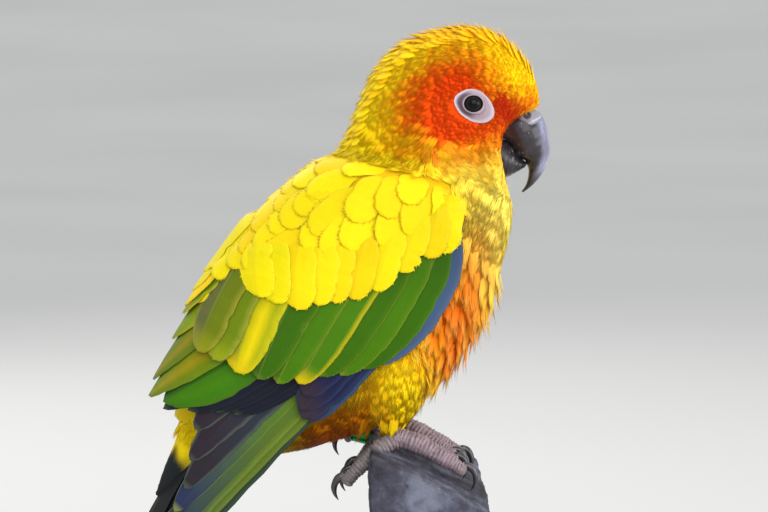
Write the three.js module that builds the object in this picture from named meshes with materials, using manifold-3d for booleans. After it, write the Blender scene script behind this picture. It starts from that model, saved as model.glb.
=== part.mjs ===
// A sun conure on a short length of weathered wood, held up by a plain display stand.
// Millimetres, +Z up, +X the way the bird faces, -Y its right side. Origin at the middle of the stand's underside.
import * as THREE from "three";
import { mergeVertices } from "three/addons/utils/BufferGeometryUtils.js";
import Module from "manifold-3d";

const wasm = await Module();
wasm.setup();

// Driving dimensions
const GAP = 0.35; // between pieces that touch
const BASE_RADIUS = 62;
const BASE_HEIGHT = 9;
const BASE_CHAMFER = 1.2;
const ROD_RADIUS = 3;
const ROD_SPACING = 52;
const ROD_SOCKET = 7; // how far a rod goes up into the perch
const PERCH_TOP = 114; // height at which the feet stand
const PERCH_NEAR = -42;
const PERCH_FAR = 56;
const VANE_THICKNESS = 0.55;
const EYE_RADIUS = 3.5;
const EYE_OPENING = 2.4;
const EYE_PLACE = [12.6, 15.1, 204.4]; // the right eye is at minus this y
const BAND_INNER_RADIUS = 2.6;
const BAND_OUTER_RADIUS = 3.4;
const BAND_LENGTH = 5;
const SECTION_SIDES = 20;
const SECTION_SQUARENESS = 0.88; // 1 for an ellipse, less for a fuller section
const BODY_STEPS = 21;

// The body from face to tail root. Each section has its point on the back, on the breast, and its half width.
const BODY = [
  { back: [30.6, 203.2], front: [22.6, 199.8], half: 6.0 },
  { back: [28.9, 210.9], front: [18.8, 194.4], half: 10.6 },
  { back: [23.6, 218.6], front: [17.4, 187.4], half: 14.6 },
  { back: [14.9, 224.0], front: [20.8, 182.2], half: 16.9 },
  { back: [3.1, 223.6], front: [22.8, 177.2], half: 17.8 },
  { back: [-6.5, 220.2], front: [22.8, 171.4], half: 17.9 },
  { back: [-13.9, 212.4], front: [22.2, 167.8], half: 17.7 },
  { back: [-18.6, 202.3], front: [21.5, 163.7], half: 18.0 },
  { back: [-23.8, 192.6], front: [20.7, 158.6], half: 19.0 },
  { back: [-33.6, 187.4], front: [19.2, 151.0], half: 19.6 },
  { back: [-40.4, 179.2], front: [15.4, 143.6], half: 19.4 },
  { back: [-45.2, 169.3], front: [10.2, 136.0], half: 18.8 },
  { back: [-50.3, 159.6], front: [4.2, 128.8], half: 17.6 },
  { back: [-54.4, 149.6], front: [-4.6, 121.8], half: 15.8 },
  { back: [-57.1, 139.6], front: [-16.6, 116.2], half: 13.8 },
  { back: [-60.4, 130.6], front: [-27.0, 113.2], half: 11.2 },
  { back: [-62.4, 122.6], front: [-35.6, 111.4], half: 8.6 },
];
const NECK_CUTS = [5.6, 8.2]; // along the list above: where the head ends and where the neck ends
const RUMP_CUT = 13.6;

// The hooked upper bill and the lower bill, the same way.
const UPPER_BILL = [
  { back: [26.5, 203.2], front: [17.5, 196.5], half: 5.4 },
  { back: [29.6, 201.6], front: [20.4, 194.6], half: 6.2 },
  { back: [31.4, 198.6], front: [22.2, 192.6], half: 6.2 },
  { back: [32.3, 195.0], front: [23.8, 190.0], half: 5.6 },
  { back: [32.5, 191.6], front: [25.6, 188.6], half: 4.7 },
  { back: [31.8, 188.4], front: [26.9, 187.2], half: 3.7 },
  { back: [30.4, 185.4], front: [27.0, 185.0], half: 2.7 },
  { back: [28.2, 182.7], front: [26.3, 182.6], half: 1.7 },
  { back: [25.7, 180.7], front: [25.2, 181.0], half: 0.7 },
];
const LOWER_BILL = [
  { back: [18.0, 195.6], front: [14.5, 185.4], half: 5.2 },
  { back: [21.2, 194.6], front: [18.9, 184.5], half: 5.9 },
  { back: [23.2, 192.4], front: [21.6, 184.9], half: 5.4 },
  { back: [25.0, 190.0], front: [23.9, 186.0], half: 4.3 },
  { back: [26.6, 188.6], front: [25.9, 187.2], half: 2.8 },
];
const CERE = [
  { back: [26.4, 204.4], front: [21.0, 199.6], half: 4.6 },
  { back: [28.7, 203.6], front: [22.6, 198.8], half: 5.9 },
  { back: [30.5, 202.0], front: [24.2, 198.4], half: 6.3 },
  { back: [31.3, 200.4], front: [25.8, 198.0], half: 5.6 },
];
// The fullness of the face round the bill: the cheeks, and the lores between eye and bill.
const FACE = [
  { radii: [12.2, 15.4, 13.4], place: [9, 0, 193] },
  { radii: [10, 12.6, 8.4], place: [15.4, 0, 203] },
];
const NOSTRIL = { place: [26.2, 201.0], radius: 0.9, depth: 1.4 };

// The folded wing's own frame: s runs from the wrist to the wing's tip, q across it towards the back.
const WRIST = [8, 178];
const WING_LENGTH = 151;
const WING_AXIS = [-0.6415, -0.767];
const WING_ACROSS = [-0.767, 0.6415];
const WING_HALF_WIDTH = [
  // s, and half the bird's width under the lowest feather
  [-10, 15.0],
  [0, 17.2],
  [20, 18.6],
  [40, 18.6],
  [60, 17.6],
  [80, 15.8],
  [100, 13.8],
  [120, 11.8],
  [WING_LENGTH, 8.8],
];
const WING_BACK_EDGE = [
  // s, and how far across the wing's underside reaches the middle of the back
  [-10, 27],
  [22, 34.8],
  [34, 36],
  [53, 34.3],
  [63, 33],
  [80, 29.5],
  [90, 27],
  [WING_LENGTH, 20],
];
const WING_CREST = 14; // q of the widest place
const WING_UNDER_RADIUS = 45; // how slowly the wing turns in below its widest place
const BED_HEIGHT = 3.2; // height of the stacked primaries
// The tail's frame: its root, its direction and the way its upper side faces.
const TAIL_ROOT = [-56, 127.5];
const TAIL_ANGLE = 62.6;
const TAIL_LENGTH = 130;
const TAIL_PAIRS = 6;
const TAIL_ROOF = 24; // slope of each side of the tail

// Functions on curves
const lerp = (a, b, t) => a + (b - a) * t;
const clamp = (v, low, high) => Math.min(Math.max(v, low), high);
const smooth = (t) => clamp(t, 0, 1) ** 2 * (3 - 2 * clamp(t, 0, 1));

// A number that repeats exactly for the same seed, from -1 to 1.
function draw(seed) {
  const v = Math.sin(seed * 127.1 + 11.7) * 43758.5453;
  return 2 * (v - Math.floor(v)) - 1;
}

// The value at x of a line through the given pairs.
function along(pairs, x) {
  let i = 1;
  while (i < pairs.length - 1 && x > pairs[i][0]) i++;
  const [[x0, y0], [x1, y1]] = [pairs[i - 1], pairs[i]];
  return lerp(y0, y1, clamp((x - x0) / (x1 - x0), 0, 1));
}

// A smooth curve through plain points, at t from 0 to 1.
function through(points, t) {
  const curve = new THREE.SplineCurve(points.map(([x, y]) => new THREE.Vector2(x, y)));
  const { x, y } = curve.getPoint(clamp(t, 0, 1));
  return [x, y];
}

// Functions on solids
function solidOf(geometry) {
  const plain = new THREE.BufferGeometry()
    .setAttribute("position", geometry.getAttribute("position"))
    .setIndex(geometry.getIndex());
  const merged = mergeVertices(plain, 1e-4);
  const vertProperties = merged.attributes.position.array;
  const triVerts = new Uint32Array(merged.index.array);
  const made = new wasm.Manifold(new wasm.Mesh({ numProp: 3, vertProperties, triVerts }));
  if (made.volume() >= 0) return made;
  for (let i = 0; i < triVerts.length; i += 3)
    [triVerts[i + 1], triVerts[i + 2]] = [triVerts[i + 2], triVerts[i + 1]];
  return new wasm.Manifold(new wasm.Mesh({ numProp: 3, vertProperties, triVerts }));
}

function solidFrom(vertices, faces) {
  return solidOf(
    new THREE.BufferGeometry()
      .setAttribute("position", new THREE.Float32BufferAttribute(vertices.flat(), 3))
      .setIndex(faces.flat()),
  );
}

// The largest closed surface of a solid: what a cut leaves loose and what a join seals is dropped.
function largest(solid) {
  const bodies = solid.decompose();
  return bodies.reduce((best, b) => (b.volume() > best.volume() ? b : best));
}

const joined = (solids) => solids.reduce((all, s) => all.add(s));

function meshOf(name, solid, { color, roughness = 0.8, metalness = 0 }) {
  const { vertProperties, triVerts, numProp } = solid.getMesh();
  const count = vertProperties.length / numProp;
  const position = new Float32Array(count * 3);
  for (let i = 0; i < count; i++)
    position.set(vertProperties.subarray(i * numProp, i * numProp + 3), i * 3);
  const geometry = new THREE.BufferGeometry()
    .setAttribute("position", new THREE.BufferAttribute(position, 3))
    .setIndex(new THREE.BufferAttribute(triVerts, 1));
  geometry.computeVertexNormals();
  const material = new THREE.MeshStandardMaterial({ color, roughness, metalness });
  const mesh = new THREE.Mesh(geometry, material);
  mesh.name = name;
  return mesh;
}

// A closed skin over rings of equally many points, with a point in the middle of each end.
function skinOver(rings) {
  const sides = rings[0].length;
  const vertices = rings.flat();
  const faces = [];
  for (let r = 0; r + 1 < rings.length; r++)
    for (let k = 0; k < sides; k++) {
      const [a, b] = [r * sides + k, r * sides + ((k + 1) % sides)];
      faces.push([a, b, b + sides], [a, b + sides, a + sides]);
    }
  for (const [r, first] of [[0, true], [rings.length - 1, false]]) {
    const middle = [0, 1, 2].map((i) => rings[r].reduce((sum, p) => sum + p[i], 0) / sides);
    vertices.push(middle);
    for (let k = 0; k < sides; k++) {
      const [a, b] = [r * sides + k, r * sides + ((k + 1) % sides)];
      faces.push(first ? [b, a, vertices.length - 1] : [a, b, vertices.length - 1]);
    }
  }
  return solidFrom(vertices, faces);
}

// The section of a list such as BODY at place p along it, grown by extra all round.
function sectionAt(list, p, extra = 0) {
  const t = p / (list.length - 1);
  const back = through(list.map((s) => s.back), t);
  const front = through(list.map((s) => s.front), t);
  const [half] = through(list.map((s) => [s.half, 0]), t);
  const length = Math.hypot(back[0] - front[0], back[1] - front[1]);
  const share = extra / length;
  return {
    back: [0, 1].map((i) => lerp(back[i], front[i], -share)),
    front: [0, 1].map((i) => lerp(front[i], back[i], -share)),
    half: half + extra,
  };
}

// The ring of points round a section. fullness moves its widest place towards the breast.
function ringOf({ back, front, half }, fullness, sides = SECTION_SIDES) {
  return Array.from({ length: sides }, (_, k) => {
    const angle = (2 * Math.PI * k) / sides;
    const t = (1 - Math.cos(angle)) / 2;
    const sine = Math.sin(angle);
    const full = Math.sign(sine) * Math.abs(sine) ** SECTION_SQUARENESS;
    const wide = half * full * (1 - fullness * Math.cos(angle));
    return [lerp(back[0], front[0], t), wide, lerp(back[1], front[1], t)];
  });
}

// A solid over the sections of a list, grown by extra.
function loftOf(list, { steps, extra = 0, fullness = () => 0.05, sides }) {
  const rings = Array.from({ length: steps + 1 }, (_, i) => {
    const p = ((list.length - 1) * i) / steps;
    return ringOf(sectionAt(list, p, extra), fullness(p), sides);
  });
  return skinOver(rings);
}

// The head is round, the belly widest low down where its feathers hang.
const bodyFullness = (p) => 0.02 + 0.1 * smooth((4 - p) / 3) + 0.48 * smooth((p - 9) / 5);

// A thin slab across the body at place p, for a cut of GAP.
function cutAcross(p) {
  const { back, front } = sectionAt(BODY, p);
  const box = new THREE.BoxGeometry(GAP, 90, 140);
  const tilt = Math.atan2(back[0] - front[0], back[1] - front[1]);
  box.rotateY(tilt);
  box.translate((back[0] + front[0]) / 2, 0, (back[1] + front[1]) / 2);
  return solidOf(box);
}

// A ball stretched to its radii, turned about the Y axis by tilt degrees, at a place.
function ball(radii, place, tilt = 0, wide = 20, high = 12) {
  const geometry = new THREE.SphereGeometry(1, wide, high);
  geometry.scale(...radii);
  geometry.rotateY(THREE.MathUtils.degToRad(tilt));
  geometry.translate(...place);
  return solidOf(geometry);
}

// The whole body with its full face, grown by extra.
function bodySolid(extra) {
  const face = FACE.map(({ radii, place }) => ball(radii.map((r) => r + extra), place, 0, 16, 9));
  return joined([loftOf(BODY, { steps: BODY_STEPS, fullness: bodyFullness, extra }), ...face]);
}

// A round tube of changing radius through points [x, y, z, radius].
function tubeThrough(points, { steps, sides = 10, extra = 0 }) {
  const curve = new THREE.CatmullRomCurve3(points.map(([x, y, z]) => new THREE.Vector3(x, y, z)));
  const across = new THREE.Vector3();
  const over = new THREE.Vector3();
  const rings = Array.from({ length: steps + 1 }, (_, i) => {
    const t = i / steps;
    const place = curve.getPoint(t);
    const way = curve.getTangent(t);
    const reach = t === 0 ? -extra : t === 1 ? extra : 0;
    place.addScaledVector(way, reach);
    across.set(0, 1, 0).cross(way).normalize();
    over.copy(way).cross(across).normalize();
    const [radius] = through(points.map((p) => [p[3], 0]), t);
    return Array.from({ length: sides }, (_, k) => {
      const angle = (2 * Math.PI * k) / sides;
      const p = place
        .clone()
        .addScaledVector(across, (radius + extra) * Math.cos(angle))
        .addScaledVector(over, (radius + extra) * Math.sin(angle));
      return [p.x, p.y, p.z];
    });
  });
  return skinOver(rings);
}

// A place over the wing's underside: s along it, a across it as a tape would lie, lift above it.
function wingPoint(s, a, lift, side) {
  const half = along(WING_HALF_WIDTH, s);
  const above = a > WING_CREST;
  const depth = above ? along(WING_BACK_EDGE, s) - WING_CREST : WING_UNDER_RADIUS;
  const radius = above ? (half + depth) / 2 : WING_UNDER_RADIUS;
  const angle = clamp((a - WING_CREST) / radius, -1, 1.62);
  const [nq, ny] = [half * Math.sin(angle), depth * Math.cos(angle)];
  const size = Math.hypot(nq, ny);
  const q = WING_CREST + depth * Math.sin(angle) + (lift * nq) / size;
  const y = half * Math.cos(angle) + (lift * ny) / size;
  return [
    WRIST[0] + WING_AXIS[0] * s + WING_ACROSS[0] * q,
    side * y,
    WRIST[1] + WING_AXIS[1] * s + WING_ACROSS[1] * q,
  ];
}

// The height of the feathers stacked under the coverts, which falls away to both edges.
function bed(a) {
  return BED_HEIGHT * (0.22 + 0.78 * smooth((a + 12) / 22)) * (1 - 0.7 * smooth((a - 16) / 16));
}

// Half the width of a feather's vane at t from root to tip, as a share of its widest.
function vaneShare(t, pointed) {
  const body = 0.45 + 0.55 * smooth(t / 0.35);
  const tip = Math.sqrt(1 - clamp((t - 0.62) / 0.38, 0, 1) ** 2);
  const narrow = 1 - pointed * smooth((t - 0.4) / 0.6);
  return Math.max(body * tip * narrow, 0.16);
}

// One feather as a thin closed plate. place(t, j, over) is its point at t along and j across, over its middle.
function vane(place, { rows = 4, thickness = VANE_THICKNESS, pointed = 0 }) {
  const vertices = [];
  const faces = [];
  for (let r = 0; r <= rows; r++) {
    const t = 1 - (1 - r / rows) ** 1.25;
    const thick = thickness * (r === rows ? 0.5 : 1);
    for (const over of [thick / 2, -thick / 2])
      for (const j of [-1, 0, 1]) vertices.push(place(t, j * vaneShare(t, pointed), over));
  }
  const at = (r, under, j) => r * 6 + (under ? 3 : 0) + j;
  for (let r = 0; r < rows; r++) {
    for (const j of [0, 1]) {
      const [a, b, c, d] = [at(r, 0, j), at(r, 0, j + 1), at(r + 1, 0, j + 1), at(r + 1, 0, j)];
      faces.push([a, b, c], [a, c, d]);
      faces.push([b + 3, a + 3, c + 3], [c + 3, a + 3, d + 3]);
    }
    for (const [j, turned] of [[0, false], [2, true]]) {
      const [a, b, c, d] = [at(r, 0, j), at(r + 1, 0, j), at(r + 1, 1, j), at(r, 1, j)];
      faces.push(...(turned ? [[a, c, b], [a, d, c]] : [[a, b, c], [a, c, d]]));
    }
  }
  for (const [r, turned] of [[0, true], [rows, false]])
    for (const j of [0, 1]) {
      const [a, b, c, d] = [at(r, 0, j), at(r, 0, j + 1), at(r, 1, j + 1), at(r, 1, j)];
      faces.push(...(turned ? [[a, c, b], [a, d, c]] : [[a, b, c], [a, c, d]]));
    }
  return solidFrom(vertices, faces);
}

// The tiers of the folded wing. roots and tips are [s, a] from the lowest feather to the highest. lift is over
// the bed, step the rise from one feather to the next, roll the slope across one, dive how deep the roots go.
const WING_TIERS = [
  {
    name: "primaries", count: 7, width: 10.5, thickness: 0.75, lift: 0.5, step: 0.45, roll: 0, rows: 4, bend: 2.6,
    pointed: 0.3, dive: 0, stacked: true,
    roots: [[24, -7.5], [36, 4]],
    tips: [[WING_LENGTH, -1], [138, 1.2], [122, 2.8], [106, 5.6], [97, 8.8], [86, 15]],
  },
  {
    name: "primary_coverts", count: 2, width: 9, lift: 0.8, step: 0.5, roll: -0.12, rows: 3, bend: 1.5,
    pointed: 0.15, dive: 0.8,
    roots: [[26, -9.6], [28, -4.4]],
    tips: [[65.5, -6.4], [60.5, -2.4]],
  },
  {
    name: "secondaries", count: 5, width: 6.8, lift: 0.75, step: 0.12, roll: -0.15, rows: 4, bend: -2.4,
    pointed: 0.1, dive: 0.8,
    roots: [[28, 0], [32, 16]],
    tips: [[73, 4], [79, 10.5], [86.5, 19]],
  },
  {
    name: "tertials", count: 3, width: 8.5, lift: 1.4, step: 0.15, roll: -0.13, rows: 4, bend: -1,
    pointed: 0.2, dive: 1.2,
    roots: [[34, 19], [36, 32]],
    tips: [[88, 24], [90.5, 32], [79, 38]],
  },
  {
    name: "greater_coverts", count: 8, width: 7.4, lift: 2.7, step: 0.18, roll: -0.16, rows: 3, bend: -2,
    pointed: 0, dive: 1.4,
    roots: [[5, -5], [12, 2], [36, 20]],
    tips: [[42.3, -11.6], [51, -3.9], [60.5, 5], [66.5, 14.5], [69.5, 21]],
  },
  {
    name: "median_coverts", count: 7, width: 6.4, lift: 4.4, step: 0.18, roll: -0.16, rows: 3, bend: -0.8,
    pointed: 0, dive: 1.4,
    roots: [[-6, 0], [5, 8], [26, 20]],
    tips: [[10.5, -3], [22, 0.5], [34, 6], [42, 12], [49.5, 19]],
  },
  {
    name: "scapulars", count: 4, width: 6.6, lift: 4.8, step: 0.2, roll: -0.16, rows: 3, bend: -0.6,
    pointed: 0.15, dive: 1.8,
    roots: [[12, 24], [18, 34]],
    tips: [[42, 25.5], [57, 29.5], [62, 33.5], [51, 35]],
  },
];

// One feather of a tier on the wing.
function wingFeather(tier, i, side) {
  const u = i / (tier.count - 1);
  const root = through(tier.roots, u);
  const tip = through(tier.tips, u);
  const seed = i + tier.width * 7.3 + (side > 0 ? 31 : 0);
  tip[0] += 0.7 * draw(seed);
  tip[1] += 0.25 * draw(seed + 5);
  const [ds, da] = [tip[0] - root[0], tip[1] - root[1]];
  const length = Math.hypot(ds, da);
  const [ns, na] = [-da / length, ds / length];
  const half = tier.width / 2;
  const rootLine = tier.roots.map(([s, a]) => [a, s]);
  return vane((t, j, over) => {
    const aside = tier.bend * 4 * t * (1 - t) + half * j;
    const [s, a] = [root[0] + ds * t + ns * aside, root[1] + da * t + na * aside];
    const rest = tier.stacked ? 0 : bed(a) - tier.dive * (1 - smooth((s - along(rootLine, a)) / 7));
    return wingPoint(s, a, rest + tier.lift + tier.step * i + tier.roll * half * j + over, side);
  }, tier);
}

// The pad of the folded arm and hand that carries the feathers.
const ARM_FRONT = [[-10, 6], [-6, 0], [4, -5], [18, -9.5], [34, -10], [58, -5]];
const ARM_BACK = [[-10, 18], [-4, 30], [8, 37], [26, 37], [38, 30], [50, 17], [58, 2]];

function wingArm(side) {
  const rows = 8;
  const columns = 7;
  const sheet = (under) =>
    Array.from({ length: rows + 1 }, (_, r) =>
      Array.from({ length: columns + 1 }, (_, c) => {
        const s = lerp(-10, 58, r / rows);
        const v = (1 - Math.cos((Math.PI * c) / columns)) / 2;
        const a = lerp(along(ARM_FRONT, s), along(ARM_BACK, s), v);
        const rim = Math.min(1, 2.2 * Math.sqrt(v * (1 - v))) * smooth((s + 12) / 9) * smooth((61 - s) / 10);
        const cover = lerp(3.9, 0.9, smooth((s - 9 - 1.2 * a) / 11));
        return wingPoint(s, a, under ? -0.5 - 4.5 * rim : (bed(a) + cover) * rim + 0.2, side);
      }),
    );
  const [top, below] = [sheet(false), sheet(true)];
  return skinOver(top.map((row, r) => [...row, ...below[r].toReversed()]));
}

function wingSolid(side) {
  const feathers = WING_TIERS.flatMap((tier) =>
    Array.from({ length: tier.count }, (_, i) => wingFeather(tier, i, side)),
  );
  return largest(joined([wingArm(side), ...feathers]));
}

// The tail, a steep roof of overlapping feathers, the middle pair longest and uppermost.
function tailPoint(along, across, over, side) {
  const angle = THREE.MathUtils.degToRad(TAIL_ANGLE);
  const [dx, dz] = [-Math.cos(angle), -Math.sin(angle)];
  const [nx, nz] = [-Math.sin(angle), Math.cos(angle)];
  return [TAIL_ROOT[0] + dx * along + nx * over, side * across, TAIL_ROOT[1] + dz * along + nz * over];
}

function tailFeather(pair, side) {
  const length = TAIL_LENGTH * (1 - 0.105 * pair) + 1.5 * draw(pair + (side > 0 ? 17 : 3));
  const half = 5.8 - 0.25 * pair;
  const outward = 2.2 + 1.2 * pair;
  const slope = Math.tan(THREE.MathUtils.degToRad(TAIL_ROOF));
  return vane((t, j, over) => {
    const spread = outward * lerp(0.8, 1, smooth(t * 2)) * lerp(1, 0.6, smooth((t - 0.3) / 0.7));
    const across = Math.max(spread + half * j, -0.25);
    const down = 1.0 * pair + across * slope + 3 * (1 - smooth(t * 4));
    return tailPoint(length * t, across, over - down, side);
  }, { rows: 4, pointed: 0.55 });
}

// The tail's root, with the long coverts above and below it, carries the feathers.
const TAIL_BASE = [
  { back: [-60.0, 131.0], front: [-39.0, 119.0], half: 8.2 },
  { back: [-63.6, 123.5], front: [-43.6, 112.5], half: 7.8 },
  { back: [-66.8, 115.5], front: [-51.0, 106.5], half: 6.6 },
  { back: [-69.9, 108.0], front: [-60.2, 102.5], half: 4.4 },
  { back: [-72.4, 101.0], front: [-69.0, 99.2], half: 1.6 },
];

function tailSolid() {
  const feathers = [1, -1].flatMap((side) =>
    Array.from({ length: TAIL_PAIRS }, (_, pair) => tailFeather(pair, side)),
  );
  return largest(joined(feathers).subtract(bodyGrown).add(loftOf(TAIL_BASE, { steps: 4, sides: 12 })));
}

// Legs. Points are x, y outwards from the leg's own y, z and radius.
const LEGS = [
  {
    name: "right", y: -13.5, side: -1,
    shank: [[-11.8, 0, 127.0, 2.5], [-9.6, 0, 122.2, 2.2], [-6.8, 0, 118.0, 2.7]],
  },
  {
    name: "left", y: 12.5, side: 1,
    shank: [[-24.6, 0, 124.2, 2.4], [-17.8, 0, 120.4, 2.1], [-7.6, 0, 117.6, 2.7]],
  },
];
const THIGH = { radii: [8.5, 8.2, 13.5], place: [-7.5, 130.5], tilt: 14 };
const TOES = [
  {
    name: "outer_front",
    points: [[-7.0, 0.6, 118.2, 2.6], [-1.0, 1.6, 115.9, 2.4], [5.0, 2.4, 112.6, 2.2], [9.4, 2.6, 110.0, 1.9]],
  },
  {
    name: "inner_front",
    points: [[-7.0, -0.6, 118.2, 2.4], [-1.5, -3.6, 116.2, 2.2], [4.0, -6.2, 113.0, 1.9], [7.4, -7.6, 111.2, 1.7]],
  },
  {
    name: "outer_back",
    points: [[-6.8, 0.8, 118.0, 2.6], [-11.6, 2.2, 115.6, 2.4], [-16.4, 2.8, 111.2, 2.3], [-20.2, 3.0, 107.4, 2.2]],
  },
  {
    name: "inner_back",
    points: [[-7.2, -0.8, 118.0, 2.3], [-11.8, -3.0, 117.6, 2.1], [-16.0, -4.6, 116.6, 1.8], [-19.6, -5.2, 115.2, 1.6]],
  },
];

const onLeg = (points, leg) => points.map(([x, y, z, r]) => [x, leg.y + leg.side * y, z, r]);

function toeTube(toe, leg, extra = 0) {
  return tubeThrough(onLeg(toe.points, leg), { steps: 4, sides: 8, extra });
}

// A claw carries on from its toe and hooks down.
function claw(toe, leg, extra = 0) {
  const [before, end] = toe.points.slice(-2);
  const [dx, dz] = [end[0] - before[0], end[2] - before[2]];
  const reach = Math.hypot(dx, dz);
  const [ux, uz] = [dx / reach, dz / reach];
  const forward = Math.sign(dx);
  const size = end[3];
  const place = (a, down, r) => [
    end[0] + ux * a, leg.y + leg.side * end[1], end[2] + uz * a - down + 0.35 * size, r,
  ];
  const points = [
    place(-0.2, 0, size * 0.62), place(2.0, -0.4, size * 0.6), place(4.0, 0.6, size * 0.44),
    [end[0] + forward * 4.2, leg.y + leg.side * end[1], end[2] - 4.6, size * 0.12],
  ];
  return tubeThrough(points, { steps: 3, sides: 6, extra });
}

function shankTube(leg, extra = 0) {
  return tubeThrough(onLeg(leg.shank, leg), { steps: 4, sides: 10, extra });
}

// The ring worn on the left leg, round the shank at its middle point.
function legBand(leg, extra = 0) {
  const [upper, middle, lower] = leg.shank;
  const way = [0, 2].map((i) => lower[i] - upper[i]);
  const profile = [
    [BAND_INNER_RADIUS - extra, -BAND_LENGTH / 2 - extra],
    [BAND_OUTER_RADIUS + extra, -BAND_LENGTH / 2 - extra],
    [BAND_OUTER_RADIUS + extra, BAND_LENGTH / 2 + extra],
    [BAND_INNER_RADIUS - extra, BAND_LENGTH / 2 + extra],
  ];
  const points = [...profile, profile[0]].map(([r, y]) => new THREE.Vector2(r, y));
  const geometry = new THREE.LatheGeometry(points, 16);
  geometry.rotateZ(-Math.PI / 2);
  geometry.rotateY(-Math.atan2(way[1], way[0]));
  geometry.translate(middle[0], leg.y, middle[2]);
  return solidOf(geometry);
}

function thighBall(leg, extra = 0) {
  const radii = THIGH.radii.map((r) => r + extra);
  return ball(radii, [THIGH.place[0], leg.y, THIGH.place[1]], THIGH.tilt, 12, 7);
}

// The perch, a squared, weathered length of wood whose top falls away to the front.
function perchSolid() {
  const corners = [[-14.2, 116.0], [15.5, 102.6], [16.5, 86.0], [2.0, 81.0], [-13.0, 84.5]];
  const sides = 16;
  const rows = 5;
  const outline = new THREE.CatmullRomCurve3(
    corners.map(([x, z]) => new THREE.Vector3(x, 0, z)), true, "catmullrom", 0.16,
  );
  const rings = Array.from({ length: rows + 1 }, (_, r) =>
    Array.from({ length: sides }, (_, k) => {
      const p = outline.getPoint(k / sides);
      const rough = 0.5 * draw(k * 3.1) + 0.3 * draw(k * 1.7 + r * 9.1);
      const under = p.z < 100 ? 1 : 0.25;
      const [dx, dz] = [p.x - 1, p.z - 98];
      const reach = Math.hypot(dx, dz);
      const end = r === 0 || r === rows ? 0.955 : 1;
      const size = (reach + rough * under) * end;
      return [1 + (dx / reach) * size, lerp(PERCH_NEAR, PERCH_FAR, r / rows), 98 + (dz / reach) * size];
    }),
  );
  return skinOver(rings);
}

function roundBar(radius, low, high, x, y, sides = 18) {
  const geometry = new THREE.CylinderGeometry(radius, radius, high - low, sides);
  geometry.rotateX(Math.PI / 2);
  geometry.translate(x, y, (low + high) / 2);
  return solidOf(geometry);
}

function baseSolid() {
  const profile = [
    [0, 0], [BASE_RADIUS, 0], [BASE_RADIUS, BASE_HEIGHT - BASE_CHAMFER],
    [BASE_RADIUS - BASE_CHAMFER, BASE_HEIGHT], [0, BASE_HEIGHT],
  ];
  const geometry = new THREE.LatheGeometry(profile.map(([x, y]) => new THREE.Vector2(x, y)), 40);
  geometry.rotateX(Math.PI / 2);
  return solidOf(geometry);
}

// The eyes: a ball, and round it the bare ring of skin with its lids.
function eyeBall(side, extra = 0) {
  const [x, y, z] = EYE_PLACE;
  const radius = EYE_RADIUS + extra;
  return ball([radius, radius, radius], [x, side * y, z], 0, 10, 7);
}

function eyeRing(side, extra = 0) {
  const inner = EYE_RADIUS + GAP + 0.15;
  const onBall = (r) => [r, Math.sqrt(inner ** 2 - r ** 2)];
  const inside = extra > 0 ? [[0, 3.6], [1.2, 3.6]] : [onBall(3.55), onBall(EYE_OPENING)];
  const outside = [
    [2.8, 3.2 + extra], [3.5, 3.0 + extra], [4.6, 2.1 + extra], [5.3 + extra, 1.0], [4.8 + extra, -0.6 - extra],
  ];
  const close = extra > 0 ? [0, -0.6 - extra] : [3.7, 0.6];
  const points = [...inside, ...outside, close, inside[0]].map(([r, y]) => new THREE.Vector2(r, y));
  const geometry = new THREE.LatheGeometry(points, 14);
  const position = geometry.getAttribute("position");
  for (let i = 0; i < position.count; i++) {
    // The bare skin is longer than it is high and reaches lower under the eye than above it.
    const [x, z] = [position.getX(i), position.getZ(i)];
    if (Math.hypot(x, z) > 4.2) position.setXYZ(i, x + 0.2, position.getY(i), z * (z > 0 ? 0.82 : 0.96));
  }
  geometry.rotateY(THREE.MathUtils.degToRad(24));
  if (side < 0) geometry.rotateX(Math.PI);
  const [x, y, z] = EYE_PLACE;
  geometry.translate(x, side * y, z);
  return solidOf(geometry);
}

// Put together: what touches is cut clear by GAP.
const group = new THREE.Group();
const add = (name, solid, look) => group.add(meshOf(name, largest(solid), look));

const SKIN = { color: 0xe9b52a, roughness: 0.9 };
const HORN = { color: 0x3b3840, roughness: 0.35 };
const SCALY = { color: 0x5c5253, roughness: 0.7 };

const body = bodySolid(0);
const bodyGrown = bodySolid(GAP);
const upperBill = loftOf(UPPER_BILL, { steps: 10, sides: 14 });
const upperBillGrown = loftOf(UPPER_BILL, { steps: 10, sides: 14, extra: GAP });
const lowerBill = loftOf(LOWER_BILL, { steps: 5, sides: 12 }).subtract(upperBillGrown);
const lowerBillGrown = loftOf(LOWER_BILL, { steps: 5, sides: 12, extra: GAP });
const cere = [1, -1].reduce(
  (solid, side) => {
    const hole = new THREE.CylinderGeometry(NOSTRIL.radius, NOSTRIL.radius, 2 * NOSTRIL.depth, 6);
    const y = side * sectionAt(CERE, 1.6).half * 0.9;
    hole.translate(NOSTRIL.place[0], y, NOSTRIL.place[1]);
    return solid.subtract(solidOf(hole));
  },
  loftOf(CERE, { steps: 4, sides: 12 }).subtract(upperBillGrown),
);
const cereGrown = loftOf(CERE, { steps: 4, sides: 12, extra: GAP });
const sides = [["right", -1], ["left", 1]];
const eyes = sides.flatMap(([, side]) => [eyeBall(side, GAP), eyeRing(side, GAP)]);
const legsGrown = LEGS.flatMap((leg) => [thighBall(leg, GAP), shankTube(leg, GAP)]);
const banded = LEGS.find((leg) => leg.name === "left");
const toesGrown = (leg) => TOES.map((toe) => toeTube(toe, leg, GAP));
const clawsGrown = (leg) => TOES.map((toe) => claw(toe, leg, GAP));
const tail = tailSolid();
const tailBaseGrown = loftOf(TAIL_BASE, { steps: 4, sides: 12, extra: GAP });

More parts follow.
